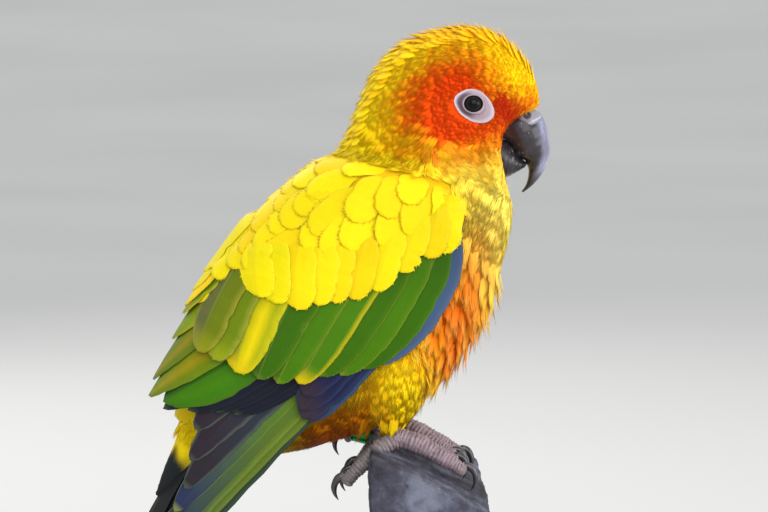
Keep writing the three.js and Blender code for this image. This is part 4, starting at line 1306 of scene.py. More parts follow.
class SmallFeathers:
    """Lays every region of small feathers on the skin."""

    STEPS = 4

    def __init__(self, skin: Surface, ground: Surface, body_map: BodyMap, plumage: Plumage, guard: WingGuard) -> None:
        """Keeps what the feathers lie on, take their colours from and keep clear of."""
        self.skin = skin
        self.ground = ground
        self.map = body_map
        self.plumage = plumage
        self.guard = guard

    def lie(self, coat: Coat, place: Array, normal: Array) -> Array:
        """Which way a coat lies at places of a surface."""
        _, t, way = self.map.locate(place)
        forward = coat.sweep * eased((t - 0.32) / 0.25)[:, None]
        ahead = mixed(np.array([0.88, 0, -0.48]), np.array([0.3, 0, -0.95]), eased((t - 0.72) / 0.2)[:, None])
        way = way * (1 - forward) + ahead * forward
        way = way * (1 - coat.droop) + np.array([0, 0, -coat.droop])
        return unit(way - normal * (way * normal).sum(axis=1, keepdims=True))

    @staticmethod
    def between(values: Array, t: Array) -> Array:
        """Values along each feather at places t, by feather and any more, from its steps."""
        steps = values.shape[1] - 1
        p = np.clip(t, 0, 1) * steps
        i = np.minimum(p.astype(int), steps - 1)
        w = (p - i)[..., None]
        row = np.arange(len(values)).reshape((-1,) + (1,) * (t.ndim - 1))
        return values[row, i] * (1 - w) + values[row, i + 1] * w

    @staticmethod
    def clear_of_eyes(points: Array) -> Array:
        """The share of each feather that lies before the bare skin round an eye."""
        dx, dz = points[..., 0] - EYE_PLACE[0], points[..., 2] - EYE_PLACE[2]
        inside = (np.hypot(dx, dz) < bare_reach(np.arctan2(dz, dx)) - 0.25) & (np.abs(points[..., 1]) > 9)
        first = np.where(inside.any(axis=1), inside.argmax(axis=1), points.shape[1])
        return np.clip((first - 0.6) / (points.shape[1] - 1), 0, 1)

    def lay(self, coat: Coat, seed: int, barred: Sequence[Surface]) -> Object:
        """Models one region.

        Args:
            coat: The region's sizes.
            seed: Which draw.
            barred: Surfaces that no feather grows inside.

        Returns:
            The piece.
        """
        rng = np.random.default_rng(seed)

        def wanted(places: Array) -> Array:
            p, t, _ = self.map.locate(places)
            return coat.keep(p, t, places)

        surface = self.ground if coat.over_wings else self.skin
        roots = surface.scatter(coat.spacing, seed, wanted)
        for other in barred:
            roots = roots[~other.holds(roots)]
        lengths = coat.length * rng.uniform(0.82, 1.15, len(roots))
        lengths *= np.clip(0.4 + 0.6 * (roots[:, 2] - coat.low) / 7, 0.4, 1)
        free = self.clear_of_eyes(surface.trace(roots, lengths, self.STEPS, partial(self.lie, coat))[0])
        roots, lengths = roots[free > 0.12], (lengths * np.minimum(free * 1.1, 1))[free > 0.12]
        points, normals, ways = surface.trace(roots, lengths, self.STEPS, partial(self.lie, coat))
        count, blades = len(roots), coat.blades
        c = np.linspace(-1, 1, blades)[None, :] + rng.uniform(-0.3, 0.3, (count, blades)) / blades
        reach = 1 - 0.16 * c**2 - 0.16 * rng.random((count, blades))
        places = np.array([0.0, 0.4, 0.78] if coat.rings == 3 else [0.0, 0.58])
        t = np.concatenate([places[None, None] * reach[..., None], reach[..., None]], axis=2)
        centre, normal, way = (self.between(v, t.reshape(count, -1)).reshape(*t.shape, 3)
                               for v in (points, normals, ways))
        across = unit(np.cross(normal, way))
        scale = (lengths / coat.length)[:, None, None]
        spread = (0.4 + 0.95 * t - 0.35 * t**2) * (1 - coat.gather * t**2)
        aside = coat.width / 2 * c[..., None] * spread * np.minimum(scale * 1.2, 1)
        aside = aside + (rng.uniform(-0.5, 0.5, (count, 1, 1)) * coat.width * 0.3) * t**2
        rise = coat.depth * (-0.2 + 1.1 * t) * mixed(1.0, scale, 0.6)
        rise = rise - 0.03 * coat.width * c[..., None] ** 2 * t
        rise = rise + rng.uniform(-0.5, 0.5, (count, 1, 1)) * coat.depth * 0.14 * t
        lifted = coat.ruffle * rng.random((count, 1, 1)) ** 2 * t**3 * 2 + coat.curl * t**3
        lean = rng.uniform(-0.04, 0.04, (count, 1, 1)) * aside
        centre = centre + across * aside[..., None] + normal * (rise + lifted + lean)[..., None]
        half = coat.width / blades * np.array([0.75, 0.85, 0.5] if coat.rings == 3 else [0.8, 0.8])
        half = half[None, None, :] * rng.uniform(0.8, 1.2, (count, blades, 1))
        body, side, up = centre[:, :, :-1], across[:, :, :-1], normal[:, :, :-1]
        rings = np.stack([
            body - side * half[..., None], body + side * half[..., None], body + up * half[..., None] * 0.2,
        ], axis=3)
        tips = centre[:, :, -1]
        if not coat.over_wings:
            rings, tips = self.guard.tucked(rings), self.guard.tucked(tips)
        tone = self.tones(coat, rng, roots, points[:, -1], t, c)
        home = self.map.unwrapped(roots)
        patch = np.stack([np.broadcast_to(c[..., None], t.shape), 2 * t - 1], axis=-1) * 0.0014
        bake = home[:, None, None, :] + patch
        vane = np.stack([aside, t * lengths[:, None, None]], axis=-1)
        feathers = Feathers()
        n = count * blades
        feathers.blades(
            rings.reshape(n, coat.rings, 3, 3), tips.reshape(n, 3), tone.reshape(n, coat.rings + 1, 3),
            vane.reshape(n, coat.rings + 1, 2), bake.reshape(n, coat.rings + 1, 2),
        )
        return feathers.build(coat.name)

    def tones(self, coat: Coat, rng: np.random.Generator, roots: Array, ends: Array, t: Array, c: Array) -> Array:
        """Colours of the blades from root to tip, darker at the root as painted shade, no two feathers quite alike."""
        stray = rng.normal(0, 0.7, roots.shape)
        first, last = self.plumage.at(roots + stray), self.plumage.at(ends + stray)
        tone = mixed(first[:, None, None], last[:, None, None], t[..., None])
        if coat.tip_colour:
            share = coat.tip_share * eased((t - 0.5) / 0.5) * rng.uniform(0.3, 1, (len(roots), 1, 1))
            tone = mixed(tone, paint(*coat.tip_colour), share[..., None])
        # Darker at the root than at the tip: painted shade where the feathers above lie over it.
        bright = mixed(1.0, 1.05, eased(t / 0.8)) * rng.uniform(0.97, 1.05, (len(roots), 1, 1))
        bright = bright * rng.uniform(0.93, 1.06, (*c.shape, 1))
        warm = rng.uniform(-0.07, 0.05, (len(roots), 1, 1))
        return tone * (bright[..., None] * np.stack([np.ones_like(warm), 1 + warm, 1 + warm], axis=-1))


@dataclass
class ShoulderFeathers:
    """Broad soft feathers over mantle, scapulars and the folded arms."""

    ground: Surface
    map: BodyMap
    plumage: Plumage
    spacing: float = 4.4
    length: float = 15.0
    half: float = 4.5
    rows: int = 14
    steps: int = 6

    COLUMNS = np.array([-1, -0.9, -0.62, -0.28, 0, 0.28, 0.62, 0.9, 1])
    # Where the tips end, as how far along the wing for how far across it.
    LIMIT = np.array([
        [-8, 5], [-4.4, 8], [0.6, 16], [4.8, 27], [9, 32], [11.7, 37], [15.1, 41], [19.6, 45], [25, 50], [29, 54],
        [32.4, 58], [35, 58], [38, 56], [44, 54],
    ])

    @staticmethod
    def lie(place: Array, normal: Array) -> Array:
        """Which way the feathers lie: hanging at the front, backwards over the mantle, along the wing behind."""
        s, q = wing_plane(place)
        high = eased((q - 10) / 20)[:, None]
        behind = eased((s - 26) / 20)[:, None]
        way = mixed(np.array([-0.16, 0, -0.99]), np.array([-0.84, 0, -0.54]), high)
        way = mixed(way, np.array([WING_AXIS[0], 0, WING_AXIS[1]]), behind * 0.8)
        return unit(way - normal * (way * normal).sum(axis=1, keepdims=True))

    def size(self, roots: Array) -> Array:
        """How big feathers are at their roots, less at the wing's front edge and under the neck."""
        s, q = wing_plane(roots)
        return 0.62 + 0.38 * eased((q + 3) / 8) * eased((past_crease(roots) + 4) / 9)

    def build(self, workshop: Workshop) -> Object:
        """Models every feather and dresses the piece."""
        rng = np.random.default_rng(61)
        roots = self.ground.scatter(
            self.spacing, 62, lambda q: (past_crease(q) > -1) & (wing_plane(q)[1] > -3.5) & (wing_plane(q)[0] < 46),
        )
        size = self.size(roots) * rng.uniform(0.9, 1.08, len(roots))
        turn = rng.normal(0, 0.12, (len(roots), 1))

        def lie(place: Array, normal: Array) -> Array:
            way = self.lie(place, normal)
            return unit(way + np.cross(normal, way) * turn)

        paths = self.ground.trace(roots, self.length * size, self.steps, lie)
        s, q = wing_plane(paths[0][:, -1])
        kept = s < along(self.LIMIT, q) + rng.uniform(-1.5, 1.5, len(s))
        kept &= paths[0][:, [self.steps // 2, -1], 0].max(axis=1) < 9.5
        points, normals, ways = (v[kept] for v in paths)
        roots, size = roots[kept], size[kept]
        count, rows, columns = len(roots), self.rows, len(self.COLUMNS)
        t = 1 - (1 - np.linspace(0, 1, rows + 1)) ** 1.35
        tt = np.broadcast_to(t, (count, rows + 1))
        centre, up, way = (SmallFeathers.between(v, tt) for v in (points, normals, ways))
        across = unit(np.cross(up, way))
        share = np.stack([vane_share(t, 0.0)] * 2, axis=0)[None] * (1 + 0.03 * rng.normal(size=(count, 2, rows + 1)))
        j = self.COLUMNS[None, None, :]
        outline = np.where(j < 0, share[:, 0, :, None], share[:, 1, :, None])
        half = (self.half * size)[:, None, None]
        bow = rng.uniform(-0.8, 0.8, (count, 1, 1)) * (tt[..., None] ** 2)
        aside = half * j * outline + bow
        flat = (centre[:, :, None] + across[:, :, None] * aside[..., None]).reshape(-1, 3)
        near, normal = (v.reshape(count, rows + 1, columns, 3) for v in self.ground.nearest(flat))
        tilt = rng.uniform(-0.03, 0.03, (count, 1, 1)) - 0.07
        lift = -0.4 + 1.2 * tt[..., None] + rng.uniform(0, 0.14, (count, 1, 1)) * tt[..., None]
        lift = lift + tilt * aside - 0.05 * half * j**2
        thin = 0.08 * (1 - 0.7 * np.abs(j) ** 3) * (1 - 0.5 * tt[..., None])
        ridge = 0.06 * (np.abs(j) < 0.03) * (1 - tt[..., None])
        top = near + normal * (lift + thin + ridge)[..., None]
        under = near + normal * (lift - thin)[..., None]
        looks = [YELLOW, YELLOW, YELLOW_WARM]
        tones = np.stack([looks[rng.integers(3)].at(t, self.COLUMNS, rng) for _ in range(count)])
        ground_tone = self.plumage.at(near.reshape(-1, 3)).reshape(tones.shape)
        # The plumage's colours mixed in are darker towards the root: painted shade where the feathers above lie over
        # it.
        tones = mixed(tones, ground_tone * mixed(0.9, 1.0, tt[..., None, None]), 0.3)
        vane = np.stack([aside + 0 * tt[..., None], (tt * self.length * size[:, None])[..., None] + 0 * aside], axis=-1)
        home = self.map.unwrapped(roots)[:, None, None]
        bake = home + np.stack([j + 0 * aside, 2 * tt[..., None] - 1 + 0 * aside], axis=-1) * 0.003
        feathers = Feathers()
        feathers.plates(top, under, tones, vane, bake)
        for i in range(count):
            feathers.fringe(top[i], tones[i], vane[i], bake[i], rng, 0.7 * size[i], 30)
        piece = feathers.build("shoulder_feathers")
        return workshop.dress(piece, workshop.vane, Slot.BODY)


def wing_point(s: Array, a: Array, lift: Array, side: Side) -> Array:
    """A place over the folded wing's underside.

    Args:
        s: How far along the wing from the wrist, in millimetres.
        a: How far across it, as a tape would lie.
        lift: The height above it.
        side: Which wing.

    Returns:
        Places in millimetres.
    """
    s, a, lift = np.broadcast_arrays(s, a, lift)
    half = along(WING_HALF_WIDTH, s)
    above = a > WING_CREST
    depth = np.where(above, along(WING_BACK_EDGE, s) - WING_CREST, WING_UNDER_RADIUS)
    radius = np.where(above, (half + depth) / 2, WING_UNDER_RADIUS)
    angle = np.clip((a - WING_CREST) / radius, -1, 1.62)
    nq, ny = half * np.sin(angle), depth * np.cos(angle)
    size = np.hypot(nq, ny)
    q = WING_CREST + depth * np.sin(angle) + lift * nq / size
    y = half * np.cos(angle) + lift * ny / size
    return np.stack([
        WRIST[0] + WING_AXIS[0] * s + WING_ACROSS[0] * q, side.value * y,
        WRIST[1] + WING_AXIS[1] * s + WING_ACROSS[1] * q,
    ], axis=-1)


def bed(a: Array) -> Array:
    """The height of the feathers stacked under the coverts."""
    return BED_HEIGHT * (0.22 + 0.78 * eased((a + 12) / 22)) * (1 - 0.7 * eased((a - 16) / 16))


def arm_net(front: Array, back: Array, end: float, shape: tuple[int, int], side: Side) -> tuple[Array, ...]:
    """A net over the folded arm.

    Args:
        front: Where its front edge lies across the wing, for places along it.
        back: Where its back edge lies.
        end: How far along the wing it reaches.
        shape: How many points it has along and across.
        side: Which wing.

    Returns:
        Places along and across, how full the arm is there, and how far the net sinks under the neck.
    """
    s = np.linspace(-10, end, shape[0])[:, None]
    v = (1 - np.cos(np.linspace(0, math.pi, shape[1])))[None, :] / 2
    a = mixed(along(front, s), along(back, s), v)
    s = np.broadcast_to(s, a.shape)
    started = eased((past_crease(wing_point(s, a, 0.0, side)) + 1) / 9)
    return s, a, np.minimum(1, 2.2 * np.sqrt(v * (1 - v))) * started, 3 * (1 - started)


def pad(s: Array, a: Array) -> Array:
    """The height of the folded arm under its coverts."""
    cover = mixed(3.9, 0.9, eased((s - 9 - 1.2 * a) / 11))
    return bed(a) + cover


def vane_share(t: Array, pointed: float) -> Array:
    """Half the width of a vane from root to tip, as a share of its widest."""
    body = 0.45 + 0.55 * eased(t / 0.35)
    tip = np.sqrt(np.maximum(1 - np.clip((t - 0.62) / 0.38, 0, 1) ** 2.2, 0))
    return np.maximum(body * tip * (1 - pointed * eased((t - 0.4) / 0.6)), 0.03)


VANE_COLUMNS = np.array([-1, -0.93, -0.72, -0.4, -0.07, 0, 0.07, 0.4, 0.72, 0.93, 1])


@dataclass(frozen=True)
class Look:
    """Colours of one kind of vane: its lower web, upper web, edge, shaft, and the painted shade at its base."""

    outer: Colour
    inner: Colour
    edge: Colour
    shaft: Colour
    tip: Colour | None = None
    middle: Colour | None = None
    edge_share: float = 0.7
    edge_from: float = 0.84
    tip_from: float = 0.75
    root_shade: float = 0.7

    def at(self, t: Array, j: Array, rng: np.random.Generator) -> Array:
        """Colours over one vane.

        Args:
            t: From root to tip, down the rows.
            j: Across the vane from -1 to 1.
            rng: The draw of small differences.

        Returns:
            Colours by row and column.
        """
        t, j = np.broadcast_arrays(t[:, None], j[None, :])
        tone = mixed(paint(*self.outer), paint(*self.inner), eased((j + 0.15) / 0.3)[..., None])
        if self.middle:
            share = np.exp(-((j + 0.35) / 0.35) ** 2) * eased((t - 0.2) / 0.5)
            tone = mixed(tone, paint(*self.middle), share[..., None])
        if self.tip:
            tone = mixed(tone, paint(*self.tip), eased((t - self.tip_from) / (1 - self.tip_from))[..., None])
        rim = np.maximum(eased((np.abs(j) - self.edge_from) / 0.1), eased((t - 0.975) / 0.02)) * self.edge_share
        tone = mixed(tone, paint(*self.edge), rim[..., None])
        line = (np.abs(j) < 0.03) * (1 - 0.6 * t)
        tone = mixed(tone, paint(*self.shaft), line[..., None] * 0.8)
        streak = 1 + 0.02 * rng.normal(size=(t.shape[0], 1)) * (np.abs(j) > 0.05)
        # Darker towards the root: painted shade where the feathers above lie over it.
        bright = mixed(self.root_shade, 1.0, eased(t / 0.55)) * rng.uniform(0.93, 1.06) * streak
        return tone * bright[..., None] * (1 + rng.uniform(-0.05, 0.05, 3))


NAVY = Look((30, 34, 70), (26, 26, 52), (52, 60, 92), (20, 18, 26), tip=(58, 46, 56), edge_share=0.5)
NAVY_EDGE = Look((44, 62, 92), (30, 32, 60), (60, 84, 104), (20, 18, 26), tip=(54, 48, 64), edge_share=0.5)
PRIMARY_LOW = Look((44, 62, 52), (26, 26, 42), (66, 84, 66), (20, 20, 26), tip=(36, 46, 50), tip_from=0.5)
PRIMARY_GREEN = Look((92, 118, 34), (34, 34, 58), (116, 134, 56), (24, 24, 32), tip=(42, 54, 78), tip_from=0.5)
PRIMARY = Look((84, 112, 38), (38, 36, 52), (150, 156, 52), (26, 24, 32), tip=(44, 50, 80), tip_from=0.45,
               edge_from=0.93, edge_share=0.8)
PRIMARY_DARK = Look((46, 54, 66), (40, 34, 44), (84, 94, 84), (30, 26, 34), tip=(46, 38, 46), tip_from=0.4)
SECONDARY = Look((26, 28, 42), (22, 23, 32), (78, 96, 56), (18, 18, 22), edge_share=0.8, edge_from=0.96)
TERTIAL = Look((70, 116, 10), (96, 116, 14), (110, 124, 24), (90, 108, 20), middle=(146, 130, 8))
LOW_TERTIAL = Look((50, 108, 10), (46, 80, 24), (66, 104, 22), (34, 66, 20), middle=(64, 116, 12))
HIGH_TERTIAL = Look((128, 148, 14), (88, 124, 20), (168, 164, 24), (110, 124, 30), tip=(120, 140, 14))
GREEN = Look((66, 112, 8), (68, 98, 16), (128, 146, 40), (140, 156, 56), edge_from=0.9)
GREEN_DEEP = Look((54, 98, 8), (58, 90, 20), (108, 136, 40), (120, 144, 50), edge_from=0.9)
GREEN_YELLOW = Look((118, 138, 12), (92, 108, 30), (206, 186, 24), (150, 160, 40), middle=(226, 196, 8),
                    tip=(214, 182, 12), tip_from=0.86)
GREEN_FRINGE = Look((66, 116, 12), (84, 106, 26), (196, 178, 26), (136, 156, 50), tip=(206, 180, 16), tip_from=0.88)
GREEN_GREY = Look((104, 122, 14), (92, 98, 44), (146, 146, 50), (130, 144, 50), tip=(140, 148, 20), tip_from=0.8)
BLUE_EDGE = Look((62, 82, 116), (48, 84, 62), (78, 96, 126), (58, 76, 96))
YELLOW = Look((233, 212, 8), (231, 208, 6), (236, 214, 40), (236, 206, 20), root_shade=0.92, edge_share=0.5)
YELLOW_WARM = Look((232, 202, 6), (229, 197, 6), (236, 206, 30), (230, 192, 20), root_shade=0.88, edge_share=0.5)
YELLOW_GREEN = Look((240, 208, 6), (150, 156, 20), (226, 196, 16), (200, 190, 30), root_shade=0.7)
OLIVE = Look((84, 122, 12), (120, 132, 20), (206, 190, 20), (120, 140, 30), tip=(150, 156, 14), tip_from=0.7)
TAIL_LOOK = Look((40, 46, 32), (30, 32, 30), (38, 44, 54), (24, 26, 28), tip=(30, 42, 76), tip_from=0.45)
TAIL_SIDE = Look((28, 34, 46), (26, 28, 34), (36, 48, 68), (22, 24, 28), tip=(26, 38, 70), tip_from=0.4)


@dataclass(frozen=True)
class Tier:
    """One tier of the folded wing, from its lowest feather to its highest."""

    name: str
    count: int
    width: float
    lift: float
    step: float
    roll: float
    bend: tuple[float, ...]
    dive: float
    roots: tuple[tuple[float, float], ...]
    tips: tuple[tuple[float, float], ...]
    looks: tuple[Look, ...]
    pointed: float = 0.0
    thickness: float = 0.24
    stacked: bool = False
    rows: int = 18
    splits: float = 0.5
    barb: float = 0.4


WING_TIERS = (
    Tier("primaries", 8, 10.5, 0.5, 0.42, 0, (2.6, 2.6), 0, ((24, -7.5), (36, 4)),
         ((151, -1), (138, 1.2), (122, 2.8), (106, 5.6), (97, 8.8), (87, 15)),
         (PRIMARY_LOW, PRIMARY_GREEN, PRIMARY_GREEN, PRIMARY, PRIMARY, PRIMARY_DARK, PRIMARY_DARK, PRIMARY_DARK),
         pointed=0.2, thickness=0.4, stacked=True, rows=26, splits=0.2, barb=0.0),
    Tier("primary_coverts", 4, 11.5, 0.9, 0.4, -0.12, (1.5, 1.5), 0.8, ((26, -8.6), (28, -2)),
         ((66.5, -6.2), (67, -3.6), (61.5, -0.5)), (NAVY_EDGE, NAVY, NAVY, NAVY), rows=18, splits=0.1, barb=0.0),
    Tier("secondaries", 8, 7.0, 0.75, 0.12, -0.15, (-1.8, -1.8), 0.8, ((28, -2), (34, 10)),
         ((76.5, 8.5), (80, 14.5), (89, 23)), (SECONDARY,), pointed=0.1, rows=20, splits=0.2, barb=0.0),
    Tier("tertials", 4, 12.5, 1.6, 0.25, -0.1, (-1.5, -1.5), 1.2, ((36, 12), (38, 24), (35, 33)),
         ((87.5, 24), (90, 31), (86, 36), (75, 39)), (LOW_TERTIAL, TERTIAL, TERTIAL, HIGH_TERTIAL), rows=22,
         splits=0.2, barb=0.0),
    Tier("greater_coverts", 10, 11.0, 2.7, 0.16, -0.13, (-4.6, -1.6, 1.2, 2.4, 2.4), 1.4,
         ((2, -0.5), (15, 11), (34, 31)), ((44, -10.6), (53, -3.4), (61.5, 5), (68, 14.5), (70.5, 24)),
         (BLUE_EDGE, GREEN_DEEP, GREEN, GREEN_DEEP, GREEN_FRINGE, GREEN, GREEN_DEEP, GREEN_YELLOW, GREEN_GREY,
          GREEN_GREY), rows=22, splits=0.3, barb=0.25),
    Tier("median_coverts", 10, 8.6, 4.1, 0.12, -0.1, (0.4, 1.0), 1.4, ((-1, 4), (8, 7), (21, 16), (29, 22), (37, 31)),
         ((11, -4.4), (20, 0.4), (33, 4.8), (39, 10), (46, 15), (50, 21)), (YELLOW, YELLOW_WARM, YELLOW),
         rows=16, splits=0.8, barb=0.6),
    Tier("scapulars", 7, 8.8, 3.0, 0.2, -0.14, (0.6, 0.6), 3.2, ((30, 22), (34, 31), (32, 39)),
         ((54, 27), (60, 34), (68, 38), (64, 40), (56, 41)),
         (YELLOW, YELLOW_GREEN, YELLOW, OLIVE, YELLOW_GREEN, YELLOW, YELLOW), rows=16, splits=0.8, barb=0.6),
)


class WingFeathers:
    """One folded wing: its arm and all its vaned feathers."""

    def __init__(self, side: Side) -> None:
        """Starts the wing of one side."""
        self.side = side
        self.rng = np.random.default_rng(40 + side.value)
        self.feathers = Feathers()
        self.cell = 0

    GRID = 8

    def bake_cell(self, rows: int, columns: int) -> Array:
        """The next small rectangle of the piece's own unwrap."""
        u0, v0 = self.cell % self.GRID, self.cell // self.GRID
        self.cell += 1
        v, u = np.meshgrid(np.linspace(0.04, 0.96, rows), np.linspace(0.04, 0.96, columns), indexing="ij")
        return np.stack([(u0 + u) / self.GRID, (v0 + v) / self.GRID], axis=-1)

    def plate(
        self, place: Callable[[Array, Array, Array], Array], half: float, length: float, look: Look, pointed: float,
        thickness: float, rows: int, splits: float, barb: float = 0.5,
    ) -> None:
        """Adds one vane.

        Args:
            place: Gives points for t along, j across and the height over the vane's middle.
            half: Half its width.
            length: Its length.
            look: Its colours.
            pointed: How pointed its tip is.
            thickness: Its thickness at the shaft.
            rows: How many rows of faces it has.
            splits: How often its edge is split.
            barb: How far loose barbs reach past its edge.
        """
        rng = self.rng
        t = 1 - (1 - np.linspace(0, 1, rows + 1)) ** 1.35
        columns = len(VANE_COLUMNS)
        share = np.stack([vane_share(t, pointed)] * 2)
        share *= 1 + 0.02 * rng.normal(size=share.shape)
        for web in range(2):
            for _ in range(rng.poisson(splits)):
                row = rng.integers(rows // 3, rows - 1)
                share[web, row] *= rng.uniform(0.72, 0.9)
        j = np.broadcast_to(VANE_COLUMNS, (rows + 1, columns))
        outline = np.where(j < 0, share[0][:, None], share[1][:, None])
        tt = np.broadcast_to(t[:, None], j.shape)
        ridge = 0.09 * (np.abs(j) < 0.03) * (1 - tt)
        arch = 0.07 * half * (1 - j**2)
        thin = thickness / 2 * (1 - 0.75 * np.abs(j) ** 3) * (1 - 0.6 * tt)
        top = place(tt, j * outline, arch + thin + ridge)
        under = place(tt, j * outline, arch - thin)
        tones = look.at(t, VANE_COLUMNS, rng)
        vane = np.stack([j * outline * half, tt * length], axis=-1)
        bake = self.bake_cell(rows + 1, columns)
        self.feathers.plates(top[None], under[None], tones[None], vane[None], bake[None])
        if barb:
            self.feathers.fringe(top, tones, vane, bake, rng, barb, 26)

    def feather(self, tier: Tier, i: int) -> None:
        """Adds one feather of a tier."""
        u = i / (tier.count - 1)
        root, tip = spline(tier.roots, u), spline(tier.tips, u)
        tip = tip + self.rng.uniform(-1, 1, 2) * (0.7, 0.25)
        d = tip - root
        length = float(np.hypot(*d))
        n = np.array([-d[1], d[0]]) / length
        half = tier.width / 2 * self.rng.uniform(0.95, 1.06)
        line = np.array(tier.roots)[:, ::-1]
        climb = tier.step * i + self.rng.uniform(-0.04, 0.04)
        bend = float(spline([(b,) for b in tier.bend], u)[0])

        def place(t: Array, j: Array, over: Array) -> Array:
            aside = bend * 4 * t * (1 - t) + half * j
            s, a = root[0] + d[0] * t + n[0] * aside, root[1] + d[1] * t + n[1] * aside
            sunk = tier.dive * (1 - eased((s - along(line, a)) / 7))
            rest = 0 if tier.stacked else bed(a) - sunk
            return wing_point(s, a, rest + tier.lift + climb + tier.roll * half * j + over, self.side)

        look = tier.looks[i % len(tier.looks)]
        self.plate(place, half, length, look, tier.pointed, tier.thickness, tier.rows, tier.splits, tier.barb)

    def arm(self) -> None:
        """Adds the arm itself, under the coverts."""
        s, a, rim, sunk = arm_net(ARM_FRONT, ARM_BACK, 58, (31, 23), self.side)
        rim = rim * eased((61 - s) / 10)
        top = wing_point(s, a, pad(s, a) * rim - 0.4 - sunk, self.side)
        under = wing_point(s, a, -0.5 - 3.0 * rim - sunk, self.side)
        green = eased((s - 12 - 1.3 * a) / 8)[..., None]
        tones = mixed(paint(226, 180, 10), paint(40, 60, 18), green)
        bake = self.bake_cell(*s.shape)
        vane = np.stack([a, s], axis=-1)
        self.feathers.plates(top[None], under[None], tones[None], vane[None], bake[None])

    def build(self, workshop: Workshop) -> Object:
        """Models the wing and dresses it."""
        self.arm()
        for tier in WING_TIERS:
            for i in range(tier.count):
                self.feather(tier, i)
        name = self.side.name.lower()
        piece = self.feathers.build(f"wing_feathers_{name}")
        return workshop.dress(piece, workshop.vane, Slot.WING, (f"wing_{name}",))


class TailFeathers(WingFeathers):
    """The tail: a steep roof of long overlapping feathers with coverts over its root."""

    def __init__(self) -> None:
        """Starts the tail."""
        super().__init__(Side.LEFT)
        self.rng = np.random.default_rng(77)

    GRID = 7

    @staticmethod
    def tail_point(away: Array, across: Array, over: Array, side: Side) -> Array:
        """A place in the tail's own frame, in millimetres."""
        turn = math.radians(TAIL_ANGLE)
        dx, dz = -math.cos(turn), -math.sin(turn)
        away, across, over = np.broadcast_arrays(away, across, over)
        return np.stack([
            TAIL_ROOT[0] + dx * away + dz * over, side.value * across, TAIL_ROOT[1] + dz * away - dx * over,
        ], axis=-1)

    def quill(self, pair: int, side: Side) -> None:
        """Adds one tail feather."""
        length = TAIL_LENGTH * (1 - 0.105 * pair) + self.rng.uniform(-1.5, 1.5)
        half, outward = 5.8 - 0.25 * pair, 2.2 + 1.2 * pair
        slope = math.tan(math.radians(TAIL_ROOF))

        def place(t: Array, j: Array, over: Array) -> Array:
            spread = outward * mixed(0.8, 1, eased(t * 2)) * mixed(1, 0.6, eased((t - 0.3) / 0.7))
            across = np.maximum(spread + half * j, -0.25)
            down = 1.0 * pair + across * slope + 3 * (1 - eased(t * 4))
            return self.tail_point(length * t, across, over - down, side)

        look = TAIL_LOOK if pair < 3 else TAIL_SIDE
        self.plate(place, half, length, look, 0.55, 0.4, 30, 0.6, 0.0)

    def covert(self, k: int, side: Side, above: bool) -> None:
        """Adds one of the long coverts over or under the tail's root."""
        rng = self.rng
        row, place_in_row = divmod(k, 4)
        start = -13.0 + 5.0 * row + rng.uniform(-1, 1)
        length, half = 12 if row == 2 else 14, 3.0
        outward = 0.6 + 2.0 * place_in_row

        def upper(t: Array, j: Array, over: Array) -> Array:
            away = start + length * t
            across = outward * mixed(1, 0.75, t) + half * j
            hump = 5.2 * (1 - eased((away - 2) / 40)) + 1.2
            drop = 0.09 * across**2
            return self.tail_point(away, across, over + hump - drop + 0.3 * (3 - row), side)

        def lower(t: Array, j: Array, over: Array) -> Array:
            away = start + length * t
            across = outward * mixed(1, 0.6, t) + half * j
            hump = 12.5 * (1 - eased((away + 6) / 50)) + 8.0
            drop = 0.08 * across**2
            return self.tail_point(away, across, -over - hump + drop - 0.3 * (3 - row), side)

        look = YELLOW_WARM if above else Look((196, 122, 20), (150, 110, 30), (150, 150, 40), (160, 110, 30))
        self.plate(upper if above else lower, half, length, look, 0.1, 0.2, 14, 1.0)

    def build(self, workshop: Workshop) -> Object:
        """Models the tail and dresses it."""
        for side in Side:
            for pair in range(TAIL_PAIRS):
                self.quill(pair, side)
            for k in range(12):
                self.covert(k, side, True)
        piece = self.feathers.build("tail_feathers")
        return workshop.dress(piece, workshop.vane, Slot.TAIL, ("tail",))


